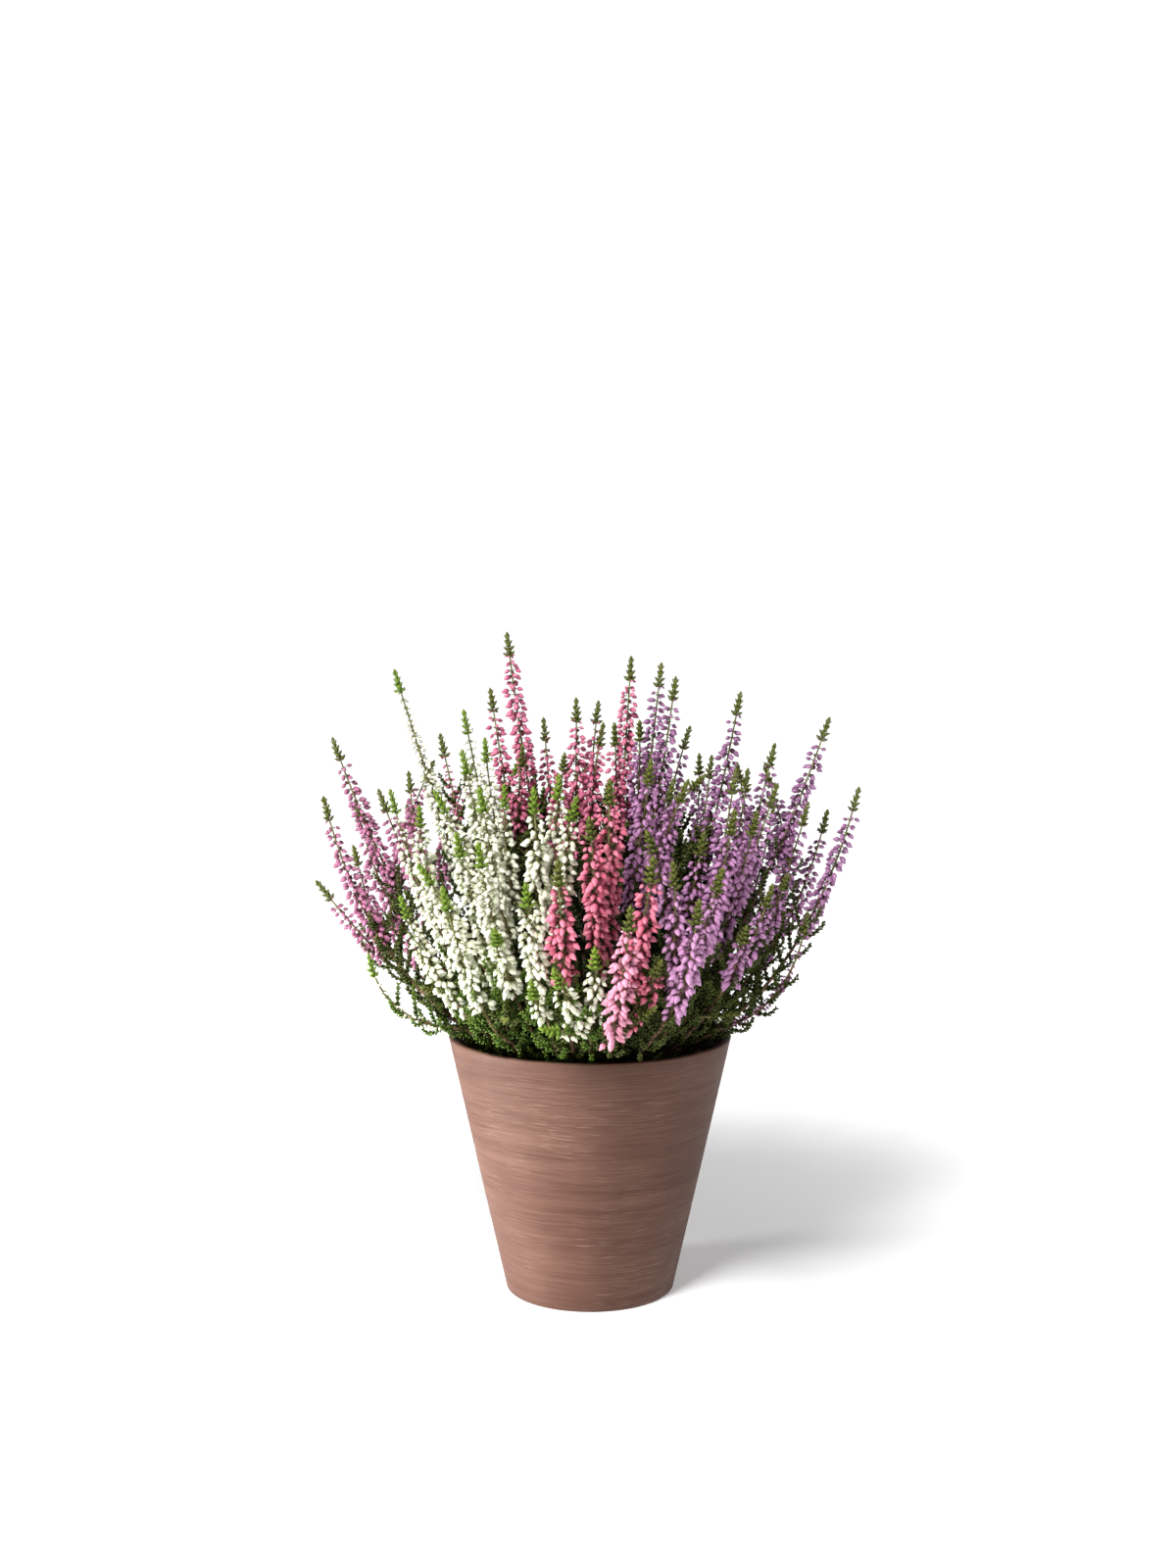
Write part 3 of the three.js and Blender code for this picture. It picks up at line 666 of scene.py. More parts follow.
def settled(points, start, shoots):
    """A shoot keeps its smooth arch, its foot in the soil and its stem above the rim."""
    moved = points - start
    before = np.concatenate([moved[:, :1], moved[:, :-1]], axis=1)
    after = np.concatenate([moved[:, 1:], moved[:, -1:]], axis=1)
    step = moved / 2 + (before + after) / 4
    step[:, 0, 2] = 0
    points = start + step
    for index, shoot in enumerate(shoots):
        spread = math.hypot(points[index, 0, 0], points[index, 0, 1])
        if shoot.main is None and spread > FOOT_LIMIT:
            points[index, 0, :2] *= FOOT_LIMIT / spread
    near_rim = np.hypot(points[..., 0], points[..., 1]) > RIM_RADIUS - POT_WALL - RIM_CLEARANCE
    lifted = np.maximum(points[..., 2], POT_HEIGHT + RIM_CLEARANCE)
    points[..., 2] = np.where(near_rim, lifted, points[..., 2])
    for index, shoot in enumerate(shoots):
        if shoot.main is not None:
            points[index, 0] = points[shoot.main, shoot.joint]
    return points


sprays, shoots = planted()
bend_clear(shoots)

# Stems and scale leaves.
# Thin woody stems, reddish brown and rough below and green near the tips. Small pointed leaves sit on them in
# crossed pairs, and short side shoots are so thickly set with leaves that they look like little green ropes.
STEM_SIDES = 5
STEM_FOOT_RADIUS = 1.15
STEM_FORK_RADIUS = 0.7
STEM_TIP_RADIUS = 0.32
LEAF_PITCH = 1.6
LEAFY_STRETCH = 26
LEAF_SIZE = {"length": 2.4, "width": 1.3, "thick": 0.9}
LEAF_RISE = (38, 58)
LEAF_SPREAD = (0.85, 1.15)
LEAF_TURN_SPREAD = 0.2
LEAF_YOUNG = (0.3, 1)
TIP_PITCH = 1.35
TIP_START = 0.5
TIP_LEAF_SIZE = {"length": 3.9, "width": 2.8, "thick": 1.9}
TIP_RISE = 44
TIP_CLOSING = 24
TIP_RISE_SPREAD = (-9, 7)
TIP_NARROWING = 0.35
TIP_YOUNG = (0.7, 1)
TIP_YOUNG_FROM = 0.6
SIDE_PITCH = {"foot": 2.4, "above": 3.6, "inner": 2.8}
FOOT_STRETCH = 42
OUTER_RADIUS = 95
SIDE_STRETCH = {"outer": 1.35, "inner": 1.85, "other": 1}
INNER_FULLNESS = 1.2
SIDE_LENGTH = {"low": 10.5, "high": 8.5}
SIDE_LENGTH_SPREAD = (0.7, 1.2)
SIDE_AIM = {"outward": 0.85, "along": 0.55}
SIDE_TURN_SPREAD = 0.4
SIDE_OUT = 0.85
SIDE_BEND = 0.6
SIDE_LIFT = 0.5
SIDE_SAMPLES = 5
SIDE_STEM_SIDES = 3
SIDE_STEM_RADII = [0.3, 0.24, 0.18]
SIDE_STEM_GREEN = [0.3, 0.7, 1.0]
SIDE_LEAF_START = 0.8
SIDE_LEAF_PITCH = 1.15
SIDE_LEAF_SIZE = {"length": 2.5, "width": 2.1, "thick": 1.6}
SIDE_RISE = 52
SIDE_RISE_SPREAD = 10
SIDE_NARROWING = 0.25
SIDE_YOUNG = (0.4, 1)
PAIR_TURN_SPREAD = 0.15
PAIR_SIZE_SPREAD = (0.9, 1.1)
OVER_RIM = 4
INSIDE_RIM = 12
GROUND_ROOM = 3
GOLDEN_TURN = 2.39996
BARK_DARK = (0.070, 0.034, 0.020)
BARK_LIGHT = (0.24, 0.115, 0.062)
STEM_GREEN = (0.17, 0.19, 0.05)
# Painted shade: leaves deep inside the dome are painted nearly black, as shade falls there.
SHADE_SCALE = 10
SHADE_EDGE = (0.32, 0.60)
SHADE_SLOPE = 0.45
SHADE_TOP = (0.18, 0.215)
LEAST_LIT = 0.2
LEAF_PAINTED_SHADE = (0.005, 0.012, 0.002)


def out_of_painted_shade(wire, place):
    """Painted shade: 0 deep inside the dome, where the leaves are painted nearly black, and 1 at its outside
    or its top.
    """
    flat = wire.node("VectorMath", {"operation": "MULTIPLY"}, {0: place, 1: (1, 1, 0)})
    radius = wire.node("VectorMath", {"operation": "LENGTH"}, {0: flat}, output="Value")
    height = wire.node("SeparateXYZ", {}, {"Vector": place}, output="Z")
    above_rim = height - POT_HEIGHT * MM
    edge = (radius - above_rim * SHADE_SLOPE) * SHADE_SCALE
    outside = edge.ramp((SHADE_EDGE[0], 0), (SHADE_EDGE[1], 1))
    above = height.ramp((SHADE_TOP[0], 0), (SHADE_TOP[1], 1))
    return 1 - (1 - outside) * (1 - above)


def bark_material(name, green_share):
    """Brown bark that turns green towards the tip of the stem."""
    material, wire, surface = start_material(name, 0.7)
    rough = wire.node("TexNoise", {}, {"Vector": object_place(wire), "Scale": 900, "Detail": 3})
    brown = rough.ramp((0.35, 0), (0.65, 1)).blend(BARK_DARK, BARK_LIGHT)
    green = attribute(wire, "along").ramp((1 - green_share, 0), (1.0, 1))
    feed(green.blend(brown, STEM_GREEN), surface, "Base Color")
    feed(wire.node("Bump", {}, {"Strength": 0.5, "Distance": 0.0003, "Height": rough}), surface, "Normal")
    return material


def leaf_material(name, shade, light, young):
    """Waxy scale leaves, green with young green at the tips, and painted shade that makes them nearly black
    inside the dome.
    """
    material, wire, surface = start_material(name, 0.5)
    place = object_place(wire)
    surface.inputs["Specular IOR Level"].default_value = 0.25
    mottle = wire.node("TexNoise", {}, {"Vector": place, "Scale": 400, "Detail": 2})
    tone = attribute(wire, "tone") * 0.7 + mottle * 0.3
    grown = tone.ramp((0.15, 0), (0.85, 1)).blend(shade, light)
    edge = attribute(wire, "along").ramp((0.3, 0), (1.0, 1)) * 0.45
    lit = edge.blend(attribute(wire, "hue").blend(grown, young), young)
    # painted shade: the leaf colour goes to nearly black inside the dome
    painted_lit_share = LEAST_LIT + out_of_painted_shade(wire, place) * (1 - LEAST_LIT)
    feed(painted_lit_share.blend(LEAF_PAINTED_SHADE, lit), surface, "Base Color")
    feed(wire.node("Bump", {}, {"Strength": 0.25, "Distance": 0.0003, "Height": mottle}), surface, "Normal")
    return material


def spindle(sides, rings, profile, part, bend=0.0):
    """A closed pointed shape one unit long along Z. The profile gives height and width of each ring."""
    body = bmesh.new()
    bmesh.ops.create_uvsphere(body, u_segments=sides, v_segments=rings, radius=1)
    along = body.verts.layers.float.new("along")
    heights = sorted({round(corner.co.z, 4) for corner in body.verts})
    for corner in body.verts:
        height, width = profile[heights.index(round(corner.co.z, 4))]
        flat = corner.co.xy.normalized() * width if width else Vector((0, 0))
        corner.co = Vector((flat.x, flat.y + bend * height * height, height))
        corner[along] = height
    for face in body.faces:
        face.material_index = part
    return body


PETAL_PART = 0
LEAF_PART = 1
STEM_PART = 2
scale_leaf = Form("scale_leaf", spindle(3, 2, [(0, 0), (0.4, 0.5), (1, 0)], LEAF_PART))
tip_leaf = Form("tip_leaf", spindle(4, 3, [(0, 0), (0.25, 0.46), (0.62, 0.4), (1, 0)], LEAF_PART, -0.25))


def set_stem(body, spots, radii, sides, shares):
    """A closed round stem through the spots, drawn out ring by ring from a small disc."""
    stem = bmesh.new()
    add_layers(stem)
    along = stem.verts.layers.float["along"]
    ring = bmesh.ops.create_circle(stem, cap_ends=True, segments=sides, radius=1)["verts"]
    top = stem.faces[:][0]
    for index, (spot, radius) in enumerate(zip(spots, radii)):
        if index:
            drawn = bmesh.ops.extrude_face_region(stem, geom=[top])["geom"]
            ring = [item for item in drawn if isinstance(item, bmesh.types.BMVert)]
            caps = [item for item in drawn if isinstance(item, bmesh.types.BMFace)]
            top = next(face for face in caps if len(face.verts) == sides)
            middle = sum((corner.co for corner in ring), Vector()) / sides
            bmesh.ops.translate(stem, vec=-middle, verts=ring)
            bmesh.ops.scale(stem, vec=(radius / radii[index - 1],) * 3, verts=ring)
        else:
            bmesh.ops.scale(stem, vec=(radius,) * 3, verts=ring)
        below = Vector(spots[max(0, index - 1)])
        above = Vector(spots[min(len(spots) - 1, index + 1)])
        facing = top.normal.copy() if index else Vector((0, 0, 1))
        turn = facing.rotation_difference((above - below).normalized()).to_matrix()
        bmesh.ops.rotate(stem, cent=(0, 0, 0), matrix=turn, verts=ring)
        bmesh.ops.translate(stem, vec=Vector(spot), verts=ring)
        top.normal_update()
        for corner in ring:
            corner[along] = shares[index]
    for face in stem.faces:
        face.material_index = STEM_PART
        face.smooth = True
    bmesh.ops.recalc_face_normals(stem, faces=stem.faces)
    mesh = bpy.data.meshes.new("stem")
    stem.to_mesh(mesh)
    stem.free()
    body.from_mesh(mesh)
    bpy.data.meshes.remove(mesh)


def turned_to(spot, aim, side, length, width, thick):
    """Places a form at the spot, its length along the aim and its width along the side."""
    face = aim.cross(side)
    matrix = Matrix((side * width, face * thick, aim * length)).transposed().to_4x4()
    matrix.translation = spot
    return matrix


def crossed(index, half, chance, spread):
    """The side that a leaf sits on: each pair stands square to the one before."""
    return index * math.pi / 2 + half + chance.uniform(-spread, spread)


def set_leaf(body, form, frame_at, turn, rise, size, scale, tone, hue):
    """One leaf on a stem: turn is the side it sits on, and rise how steeply it points to the tip."""
    spot, along, across, over = frame_at
    outward = across * math.cos(turn) + over * math.sin(turn)
    aim = outward * math.cos(rise) + along * math.sin(rise)
    side = along.cross(outward)
    matrix = turned_to(spot, aim, side, size["length"] * scale, size["width"] * scale, size["thick"] * scale)
    form.put(body, matrix, tone, hue)


def set_leaf_pairs(body, shoot, chance, lowest, highest, freshness):
    """Crossed pairs of scale leaves on the stem below the flowers."""
    count = max(0, int((min(lowest, highest + LEAFY_STRETCH) - highest) / LEAF_PITCH))
    for index, frame_at in enumerate(shoot.frames(highest + LEAF_PITCH * np.arange(count))):
        for half in (0, math.pi):
            turn = crossed(index, half, chance, LEAF_TURN_SPREAD)
            rise = math.radians(chance.uniform(*LEAF_RISE))
            hue = freshness * chance.uniform(*LEAF_YOUNG)
            scale = chance.uniform(*LEAF_SPREAD)
            set_leaf(body, scale_leaf, frame_at, turn, rise, LEAF_SIZE, scale, chance.random(), hue)


def set_leafy_tip(body, shoot, chance, scale, freshness):
    """The flowerless end of a shoot: crossed pairs of larger pointed leaves that close over its point."""
    count = int(TIP_LENGTH / TIP_PITCH)
    distances = TIP_LENGTH - TIP_START - TIP_PITCH * np.arange(count)
    for index, frame_at in enumerate(shoot.frames(distances)):
        share = index / (count - 1)
        for half in (0, math.pi):
            turn = crossed(index, half, chance, PAIR_TURN_SPREAD)
            rise = math.radians(TIP_RISE + TIP_CLOSING * share + chance.uniform(*TIP_RISE_SPREAD))
            size = scale * (1 - TIP_NARROWING * share) * chance.uniform(*PAIR_SIZE_SPREAD)
            younger = TIP_YOUNG_FROM + (1 - TIP_YOUNG_FROM) * share
            hue = freshness * younger * chance.uniform(*TIP_YOUNG)
            set_leaf(body, tip_leaf, frame_at, turn, rise, TIP_LEAF_SIZE, size, chance.random(), hue)


def set_side_shoot(body, spot, aim, length, chance, freshness, fullness):
    """A short side shoot, wholly covered in small scale leaves."""
    start = np.array(spot)
    middle = start + np.array(aim) * length * SIDE_BEND
    end = start + np.array(aim) * length * SIDE_OUT
    end[2] += length * SIDE_LIFT
    reach = math.hypot(end[0], end[1])
    if reach < RIM_RADIUS + OVER_RIM:
        ground = SOIL_TOP if reach < RIM_RADIUS - INSIDE_RIM else POT_HEIGHT
        end[2] = max(end[2], ground + GROUND_ROOM)
    twig = Shoot(0, None, 0, [*end, 0, 0], arch(start, middle, end, SIDE_SAMPLES))
    twig.measure()
    set_stem(body, twig.points[::2], SIDE_STEM_RADII, SIDE_STEM_SIDES, SIDE_STEM_GREEN)
    count = max(3, int(twig.length / SIDE_LEAF_PITCH))
    distances = twig.length - SIDE_LEAF_START - SIDE_LEAF_PITCH * np.arange(count)
    for index, frame_at in enumerate(twig.frames(distances)):
        share = index / count
        for half in (0, math.pi):
            turn = crossed(index, half, chance, PAIR_TURN_SPREAD)
            rise = math.radians(SIDE_RISE + chance.uniform(-SIDE_RISE_SPREAD, SIDE_RISE_SPREAD))
            size = fullness * (1 - SIDE_NARROWING * share) * chance.uniform(*PAIR_SIZE_SPREAD)
            hue = freshness * share * chance.uniform(*SIDE_YOUNG)
            set_leaf(body, scale_leaf, frame_at, turn, rise, SIDE_LEAF_SIZE, size, chance.random(), hue)


def set_side_shoots(body, shoot, chance, lowest, highest, freshness):
    """Side shoots up the stem, closest together above the foot, longer on the outermost and inner shoots."""
    kind = "inner" if shoot.inner else "above"
    distances = []
    distance = lowest
    while distance > highest:
        distances.append(distance)
        near_foot = shoot.main is None and shoot.length - distance < FOOT_STRETCH
        distance -= SIDE_PITCH["foot" if near_foot else kind]
    if not distances:
        return
    stretch = SIDE_STRETCH["inner" if shoot.inner else "other"]
    if math.hypot(shoot.tip[0], shoot.tip[1]) > OUTER_RADIUS:
        stretch = SIDE_STRETCH["outer"]
    fullness = INNER_FULLNESS if shoot.inner else 1
    for index, (spot, along, across, over) in enumerate(shoot.frames(distances)):
        turn = index * GOLDEN_TURN + chance.uniform(-SIDE_TURN_SPREAD, SIDE_TURN_SPREAD)
        outward = across * math.cos(turn) + over * math.sin(turn)
        aim = (outward * SIDE_AIM["outward"] + along * SIDE_AIM["along"]).normalized()
        length = SIDE_LENGTH["low"] + (SIDE_LENGTH["high"] - SIDE_LENGTH["low"]) * index / len(distances)
        length *= stretch * chance.uniform(*SIDE_LENGTH_SPREAD)
        set_side_shoot(body, spot, aim, length, chance, freshness, fullness)


def set_main_stem(body, shoot):
    spots = [Vector(point) for point in shoot.points]
    foot_radius = STEM_FORK_RADIUS
    if shoot.main is None:
        foot_radius = STEM_FOOT_RADIUS
        spots[0] = spots[0] - Vector((0, 0, FOOT_DEPTH))
    shares = [k / (SAMPLES - 1) for k in range(SAMPLES)]
    radii = [foot_radius + (STEM_TIP_RADIUS - foot_radius) * share for share in shares]
    set_stem(body, spots, radii, STEM_SIDES, shares)


# Flower buds.
# Each bud is four closed petal-like sepals, pointed at the end, on a short stalk, and every third one has a
# small green scale leaf beside it. The buds stand in loose whorls of four, which close up down the spike.
BUD_SHAPE = [(0, 0), (0.15, 0.37), (0.45, 0.5), (0.78, 0.27), (1, 0)]
SEPAL_GROOVE = 0.84
NEAR_BUD_REACH = 5.3
BRACT_SIZE = {"length": 1.5, "width": 0.9, "thick": 0.5}
BRACT_EVERY = 3
BRACT_RISE = (10, 45)
BRACT_HUE = 0.2
BRACT_GROWTH = 0.2
BRACT_TURN = 1
WHORL_BUDS = 4
WHORL_GAP = {"open": (4.4, 2.05), "dense": (2.4, 1.6)}
WHORL_START = 1
WHORL_CLOSING = 28
WHORL_CURVE = 0.7
WHORL_SPREAD = {"distance": 0.8, "turn": 0.4}
DENSE_FROM = 4.6
DENSE_OVER = 1.4
GROWTH = {"top": 0.7, "gain": 0.3, "stretch": 16}
SMALL_GROWTH = {"top": 0.5, "gain": 0.15}
FALL = {"spread": 24, "least": 6, "low": 18, "dense": 12}
SAG = Vector((0, 0, -0.25))
BUD_LENGTH = {"at_reach": 4.4, "length": 3.65, "growth": 0.34}
BUD_LENGTH_SPREAD = (0.82, 1.12)
BUD_WIDTH_SHARE = 0.64
STALK_LEAST = 0.9
STALK_SPREAD = 0.7
STALK_REACH_SPREAD = (0.7, 1.4)
STALK_FROM_REACH = 2.6
STALK_LEAN = 0.25
STALK_IN_BUD = 0.3
STALK_WIDTH = 0.5
BUNCH_LENGTH = 6.5
BUNCH_ROUND = 1.1
BUNCH_GAP = 0.12
FOOT_CLEAR = {"main": 6, "branch": 3}
TIP_SCALE = {"least": 0.9, "growth": 0.12}
OLD_LEAF_FRESHNESS = 0.4
LEAFY_OVERLAP = 8
DROOP_LEAFY_SHARE = 0.6


def near_bud_form():
    """A bud of four sepals with a groove between each two of them, for the spikes in front."""
    body = spindle(8, 4, BUD_SHAPE, PETAL_PART)
    for corner in body.verts:
        angle = math.atan2(corner.co.y, corner.co.x)
        if abs(math.sin(2 * angle)) > 0.5:
            corner.co.xy *= SEPAL_GROOVE
    return Form("near_bud", body)


near_bud = near_bud_form()
bud = Form("bud", spindle(6, 4, BUD_SHAPE, PETAL_PART))
stalk = Form("stalk", spindle(3, 2, [(0, 0), (0.5, 0.5), (1, 0)], STEM_PART))


def petal_material(name, base, pale, body, deep, tip):
    """Papery petals, dark at the foot, partly by their own colour and partly by painted shade, and light at
    the point. The hue of a shoot goes from pale to deep.
    """
    material, wire, surface = start_material(name, 0.55)
    veins = wire.node("TexNoise", {}, {"Vector": object_place(wire), "Scale": 700, "Detail": 2})
    along = attribute(wire, "along")
    hue = attribute(wire, "hue")
    main = hue.ramp((0.3, 0), (1.0, 1)).blend(hue.ramp((0.0, 0), (0.3, 1)).blend(pale, body), deep)
    toned = (attribute(wire, "tone") * 0.75 + veins * 0.25).ramp((0.1, 0), (0.9, 1)) * 0.45
    pointed = (along.ramp((0.45, 0), (1.0, 1)) * 0.55).blend(toned.blend(main, tip), tip)
    # the dark foot of each bud is partly its own colour and partly painted shade where it meets the stalk
    feed(along.ramp((0.0, 0), (0.4, 1)).blend(base, pointed), surface, "Base Color")
    feed(wire.node("Bump", {}, {"Strength": 0.2, "Distance": 0.0003, "Height": veins}), surface, "Normal")
    return material


def whorls(chance, lowest, dense):
    """The seats of the buds, as distances from the tip and sides of the stem, whorl by whorl."""
    pairs = zip(WHORL_GAP["open"], WHORL_GAP["dense"])
    upper, lower = [sparse + (tight - sparse) * dense for sparse, tight in pairs]
    distances = []
    turns = []
    distance = TIP_LENGTH - WHORL_START
    while distance < lowest:
        first_turn = chance.uniform(0, math.pi)
        for place in range(WHORL_BUDS):
            distances.append(distance + chance.uniform(-WHORL_SPREAD["distance"], WHORL_SPREAD["distance"]))
            scattered = chance.uniform(-WHORL_SPREAD["turn"], WHORL_SPREAD["turn"])
            turns.append(first_turn + place * 2 * math.pi / WHORL_BUDS + scattered)
        closed = min(1, (distance - TIP_LENGTH + WHORL_START) / WHORL_CLOSING)
        distance += upper + (lower - upper) * closed ** WHORL_CURVE
    return distances, turns


def bud_growth(shoot, below):
    """How far a bud has grown: the young ones near the tip are smaller."""
    if below < shoot.small:
        return SMALL_GROWTH["top"] + SMALL_GROWTH["gain"] * below / max(1, shoot.small)
    return min(1, GROWTH["top"] + GROWTH["gain"] * below / GROWTH["stretch"])


def set_buds(body, shoot, chance, lowest, hue):
    """The flower spike, from just under the leafy tip down to where the leaves begin."""
    dense = min(1, max(0, (shoot.reach - DENSE_FROM) / DENSE_OVER))
    full_length = BUD_LENGTH["length"] + BUD_LENGTH["growth"] * (shoot.reach - BUD_LENGTH["at_reach"])
    form = near_bud if shoot.reach > NEAR_BUD_REACH else bud
    distances, turns = whorls(chance, lowest, dense)
    for number, frame_at in enumerate(shoot.frames(distances)):
        spot, along, across, over = frame_at
        turn = turns[number]
        around = (BUNCH_ROUND * math.cos(turn) + shoot.spray, BUNCH_ROUND * math.sin(turn))
        bunch = 0.5 + noise.noise(Vector((distances[number] / BUNCH_LENGTH, *around)))
        if bunch < BUNCH_GAP * (0.5 + dense):
            continue
        below = distances[number] - TIP_LENGTH
        growth = bud_growth(shoot, below)
        low_share = below / max(1, lowest - TIP_LENGTH)
        fall = chance.uniform(-FALL["spread"], FALL["spread"]) - FALL["least"]
        fall = math.radians(fall - FALL["low"] * low_share - FALL["dense"] * dense)
        outward = across * math.cos(turn) + over * math.sin(turn)
        aim = (outward * math.cos(fall) + along * math.sin(fall) + SAG).normalized()
        side = along.cross(outward).normalized()
        side = (side - aim * side.dot(aim)).normalized()
        length = full_length * growth * chance.uniform(*BUD_LENGTH_SPREAD)
        width = length * BUD_WIDTH_SHARE
        reach = STALK_SPREAD * (shoot.reach - STALK_FROM_REACH) * bunch * chance.uniform(*STALK_REACH_SPREAD)
        reach = STALK_LEAST + reach * growth
        base = spot + (outward + along * STALK_LEAN) * reach
        form.put(body, turned_to(base, aim, side, length, width, width), chance.random(), hue)
        stalk_aim = (base - spot).normalized()
        stalk_side = stalk_aim.cross(side).normalized()
        stalk_length = (base - spot).length + STALK_IN_BUD
        stalk_place = turned_to(spot, stalk_aim, stalk_side, stalk_length, STALK_WIDTH, STALK_WIDTH)
        stalk.put(body, stalk_place, 0.5, hue)
        if number % BRACT_EVERY == 0:
            rise = math.radians(chance.uniform(*BRACT_RISE))
            scale = 1 + BRACT_GROWTH * reach
            beside = turn + BRACT_TURN
            set_leaf(body, scale_leaf, frame_at, beside, rise, BRACT_SIZE, scale, chance.random(), BRACT_HUE)


def grow(index, chance, freshness, hue_of, materials):
    """Makes the whole spray of this number and lets it stand for its node."""
    name, colour = sprays[index]
    body = bmesh.new()
    add_layers(body)
    for shoot in [item for item in shoots if item.spray == index]:
        foot = shoot.length - FOOT_CLEAR["main" if shoot.main is None else "branch"]
        spike_end = TIP_LENGTH
        set_main_stem(body, shoot)
        if shoot.flowering:
            spike_end = min(TIP_LENGTH + shoot.flowering, foot)
            set_buds(body, shoot, chance, spike_end, hue_of(shoot))
        scale = TIP_SCALE["least"] + TIP_SCALE["growth"] * max(0, shoot.reach - DENSE_FROM)
        set_leafy_tip(body, shoot, chance, scale, freshness)
        set_leaf_pairs(body, shoot, chance, foot, spike_end, freshness * OLD_LEAF_FRESHNESS)
        leafy_end = spike_end - max(LEAFY_OVERLAP, shoot.small * DROOP_LEAFY_SHARE)
        set_side_shoots(body, shoot, chance, foot, leafy_end, freshness * OLD_LEAF_FRESHNESS)
    finished(name + "_grown", body, materials, colour, name)


def grow_all(wanted, freshness, hue_of, materials):
    """Makes every spray of one colour, each with random draws of its own."""
    for index, (name, colour) in enumerate(sprays):
        if colour == wanted:
            grow(index, random.Random(index), freshness, hue_of, materials)


# White sprays.
# The creamy white plant on the left: yellow-green stems, fresh green leaves and buds with a green-grey base.
WHITE_HUE = 0.3
WHITE_LEAF = leaf_material("leaf_of_white", shade=(0.009, 0.028, 0.003), light=(0.046, 0.112, 0.008),
                           young=(0.20, 0.31, 0.030))
WHITE_BARK = bark_material("bark_of_white", green_share=0.75)
WHITE_PETAL = petal_material("white_petal", base=(0.27, 0.33, 0.10), pale=(0.78, 0.79, 0.62),
                             body=(0.76, 0.77, 0.59), deep=(0.56, 0.60, 0.40), tip=(0.88, 0.88, 0.77))
grow_all("white", 1.0, lambda shoot: WHITE_HUE, [WHITE_PETAL, WHITE_LEAF, WHITE_BARK])

# Pink sprays.
# The rose plant in the middle: deep rose at the back, darker there partly by painted shade, full rose spikes
# in front, and one pale one at the rim.
DARK_FRESHNESS = 0.8
PALE_TIP_LIMIT = -110
PINK_DEEPENING = {"front": -80, "depth": 90, "hue": 0.3, "least": 0.3}
DARK_LEAF = leaf_material("leaf_of_dark", shade=(0.008, 0.021, 0.003), light=(0.036, 0.074, 0.007),
                          young=(0.160, 0.170, 0.030))
DARK_BARK = bark_material("bark_of_dark", green_share=0.45)
PINK_PETAL = petal_material("pink_petal", base=(0.12, 0.020, 0.03), pale=(0.72, 0.29, 0.42),
                            body=(0.70, 0.115, 0.205), deep=(0.50, 0.075, 0.190), tip=(0.86, 0.34, 0.44))


def deeper_and_shaded_behind(shoot, deepening):
    """The hue of a shoot: the further back its tip stands, the deeper and darker, partly a deeper hue and
    partly painted shade.
    """
    share = (shoot.tip[1] - deepening["front"]) / deepening["depth"]
    return min(1, max(deepening["least"], deepening["hue"] + (1 - deepening["hue"]) * share))


def pink_hue_and_shade(shoot):
    if shoot.tip[1] < PALE_TIP_LIMIT:
        return 0.0
    return deeper_and_shaded_behind(shoot, PINK_DEEPENING)


grow_all("pink", DARK_FRESHNESS, pink_hue_and_shade, [PINK_PETAL, DARK_LEAF, DARK_BARK])

# Lilac sprays.
# The violet plant on the right, whose buds are darker at the foot, partly by painted shade, and pale at the
# point.
# painted shade: lilac buds further back are painted darker, down to about half as bright
LILAC_DEEPENING = {"front": -60, "depth": 80, "hue": 0.4, "least": 0.1}
LILAC_PETAL = petal_material("lilac_petal", base=(0.075, 0.018, 0.045), pale=(0.50, 0.23, 0.42),
                             body=(0.38, 0.145, 0.33), deep=(0.175, 0.045, 0.150), tip=(0.62, 0.34, 0.56))
grow_all("lilac", DARK_FRESHNESS, lambda shoot: deeper_and_shaded_behind(shoot, LILAC_DEEPENING),
         [LILAC_PETAL, DARK_LEAF, DARK_BARK])

# Mauve sprays.
# The loose plant at the far left, with thin red-brown stems and small purplish pink buds.
MAUVE_HUE = 0.4
MAUVE_PETAL = petal_material("mauve_petal", base=(0.09, 0.020, 0.035), pale=(0.46, 0.16, 0.30),
                             body=(0.38, 0.105, 0.21), deep=(0.26, 0.06, 0.14), tip=(0.56, 0.26, 0.40))
MAUVE_BARK = bark_material("bark_of_mauve", green_share=0.2)
grow_all("mauve", DARK_FRESHNESS, lambda shoot: MAUVE_HUE, [MAUVE_PETAL, DARK_LEAF, MAUVE_BARK])

# Leafy bunches.
# Short flowerless shoots of all four plants, which fill the foot of the dome round the rim. Each bunch also
# has one taller shoot that fills the inside of the dome.
BUNCH_FRESHNESS = 0.9
grow_all("leafy", BUNCH_FRESHNESS, lambda shoot: 0.0, [PINK_PETAL, DARK_LEAF, DARK_BARK])
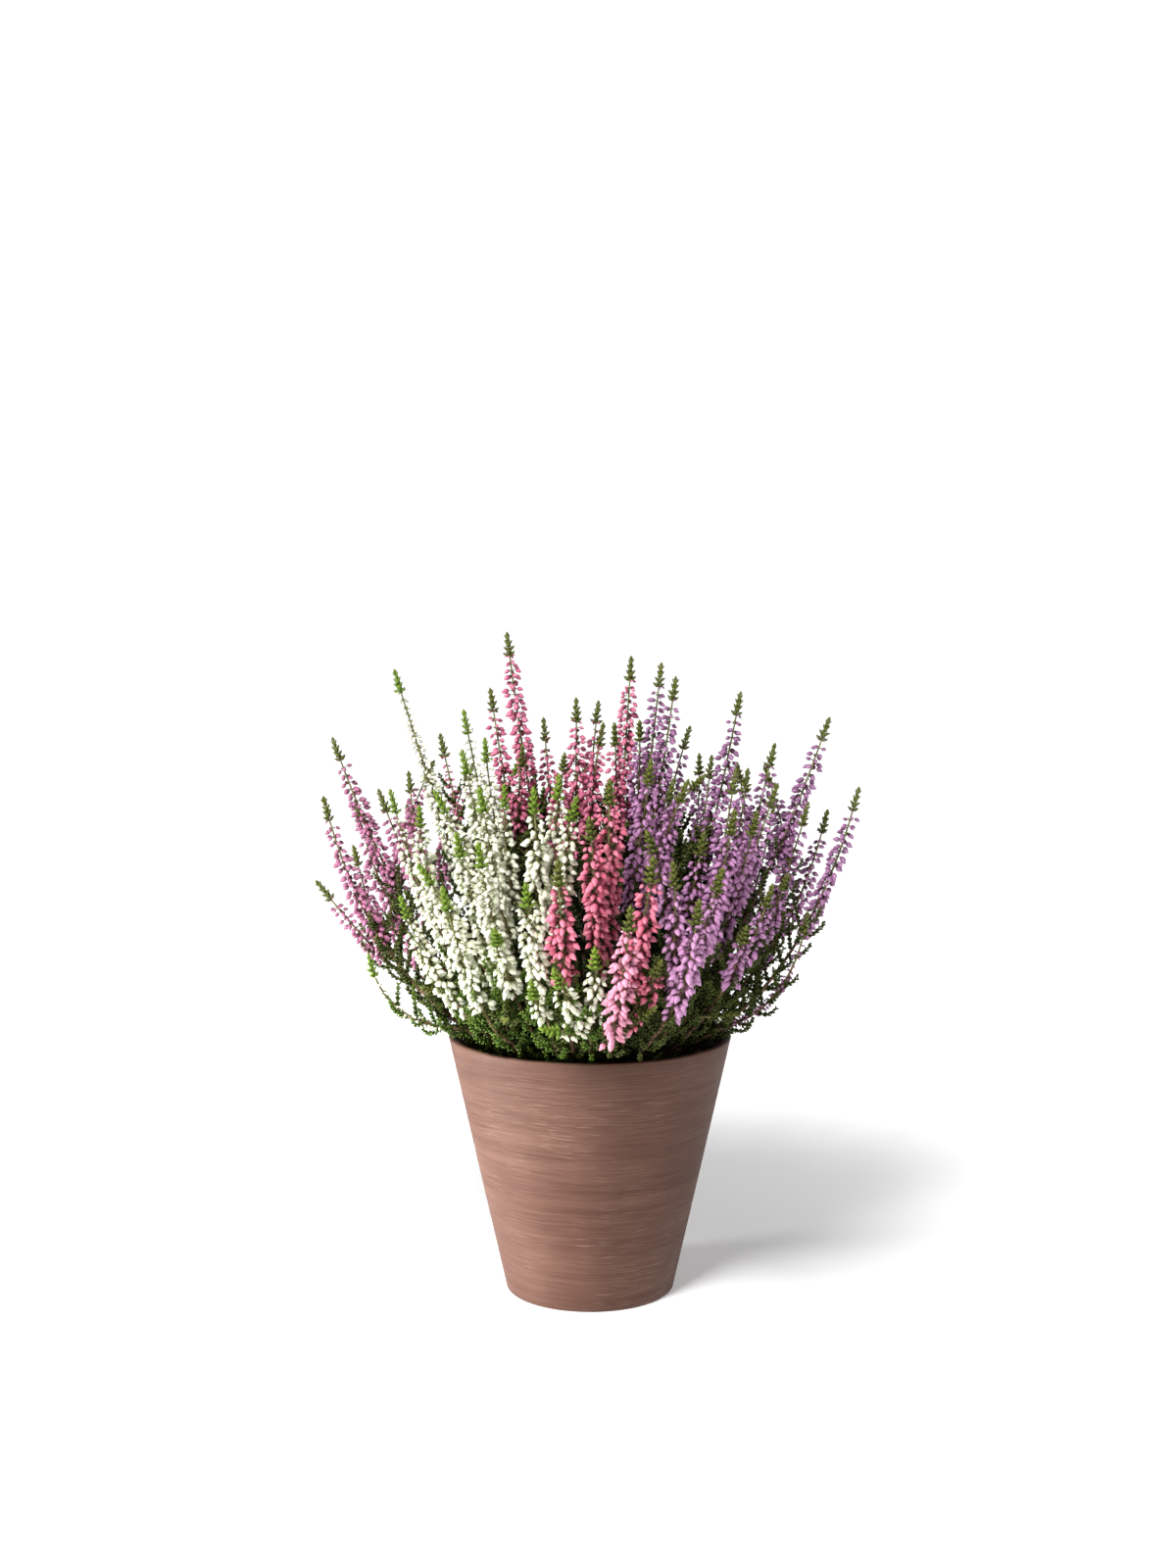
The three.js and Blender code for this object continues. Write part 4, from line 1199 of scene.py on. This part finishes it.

# Floor and light.
# A white floor that glows faintly near the pot and brightly further out, a white sky behind the pot, a dim
# sky elsewhere, one large soft light in front from the upper left, and a narrow one that grazes the left side
# of the pot.
FLOOR_SIZE = 12000
FLOOR_COLOUR = (0.88, 0.88, 0.88, 1)
FLOOR_GLOW = {"near": 0.32, "far": 0.97}
SKY_BEHIND = 1.05
SKY_SIDE = 0.16
SKY_TOP = 0.06
floor_body = bmesh.new()
bmesh.ops.create_grid(floor_body, x_segments=1, y_segments=1, size=FLOOR_SIZE / 2 * MM)
floor_mesh = bpy.data.meshes.new("studio_floor")
floor_body.to_mesh(floor_mesh)
floor_body.free()
studio_floor = bpy.data.objects.new("studio_floor", floor_mesh)
bpy.context.scene.collection.objects.link(studio_floor)
floor_material, floor_wire, floor_surface = start_material("pale_floor", 0.9)
floor_surface.inputs["Base Color"].default_value = FLOOR_COLOUR
floor_surface.inputs["Specular IOR Level"].default_value = 0.1
floor_surface.inputs["Emission Strength"].default_value = 1.0
spot = object_place(floor_wire)
distance = floor_wire.node("VectorMath", {"operation": "LENGTH"}, {0: spot}, output="Value")
# the floor glows, dimly near the pot and almost white further out
far_share = (distance * 0.5).ramp((0.05, 0), (0.35, 1))
feed(far_share.blend((FLOOR_GLOW["near"],) * 3, (FLOOR_GLOW["far"],) * 3), floor_surface, "Emission Color")
floor_mesh.materials.append(floor_material)

sky = bpy.data.worlds.new("studio_sky")
sky.use_nodes = True
sky_wire = Wire(sky.node_tree)
heading = sky_wire.node("TexCoord", {}, {}, output="Generated")
upward = sky_wire.node("SeparateXYZ", {}, {"Vector": heading}, output="Z").ramp((0.36, 0), (0.52, 1))
behind = sky_wire.node("SeparateXYZ", {}, {"Vector": heading}, output="Y").ramp((0.6, 0), (0.8, 1))
glow = upward.blend(behind.blend((SKY_SIDE,) * 3, (SKY_BEHIND,) * 3), (SKY_TOP,) * 3)
sky.node_tree.links.new(glow.socket, sky.node_tree.nodes["Background"].inputs["Color"])
bpy.context.scene.world = sky


def set_light(name, place, target, size, power, spread):
    lamp = bpy.data.lights.new(name, "AREA")
    lamp.shape = "DISK"
    lamp.size = size * MM
    lamp.energy = power
    lamp.spread = math.radians(spread)
    light = bpy.data.objects.new(name, lamp)
    light.location = Vector(place) * MM
    aim = Vector(target) - Vector(place)
    light.rotation_euler = aim.to_track_quat("-Z", "Y").to_euler()
    bpy.context.scene.collection.objects.link(light)


set_light("top_light", place=(-420, -900, 1150), target=(0, 0, 180), size=450, power=25, spread=180)
set_light("low_left_light", place=(-700, -160, 60), target=(-30, 0, 45), size=160, power=0.55, spread=34)
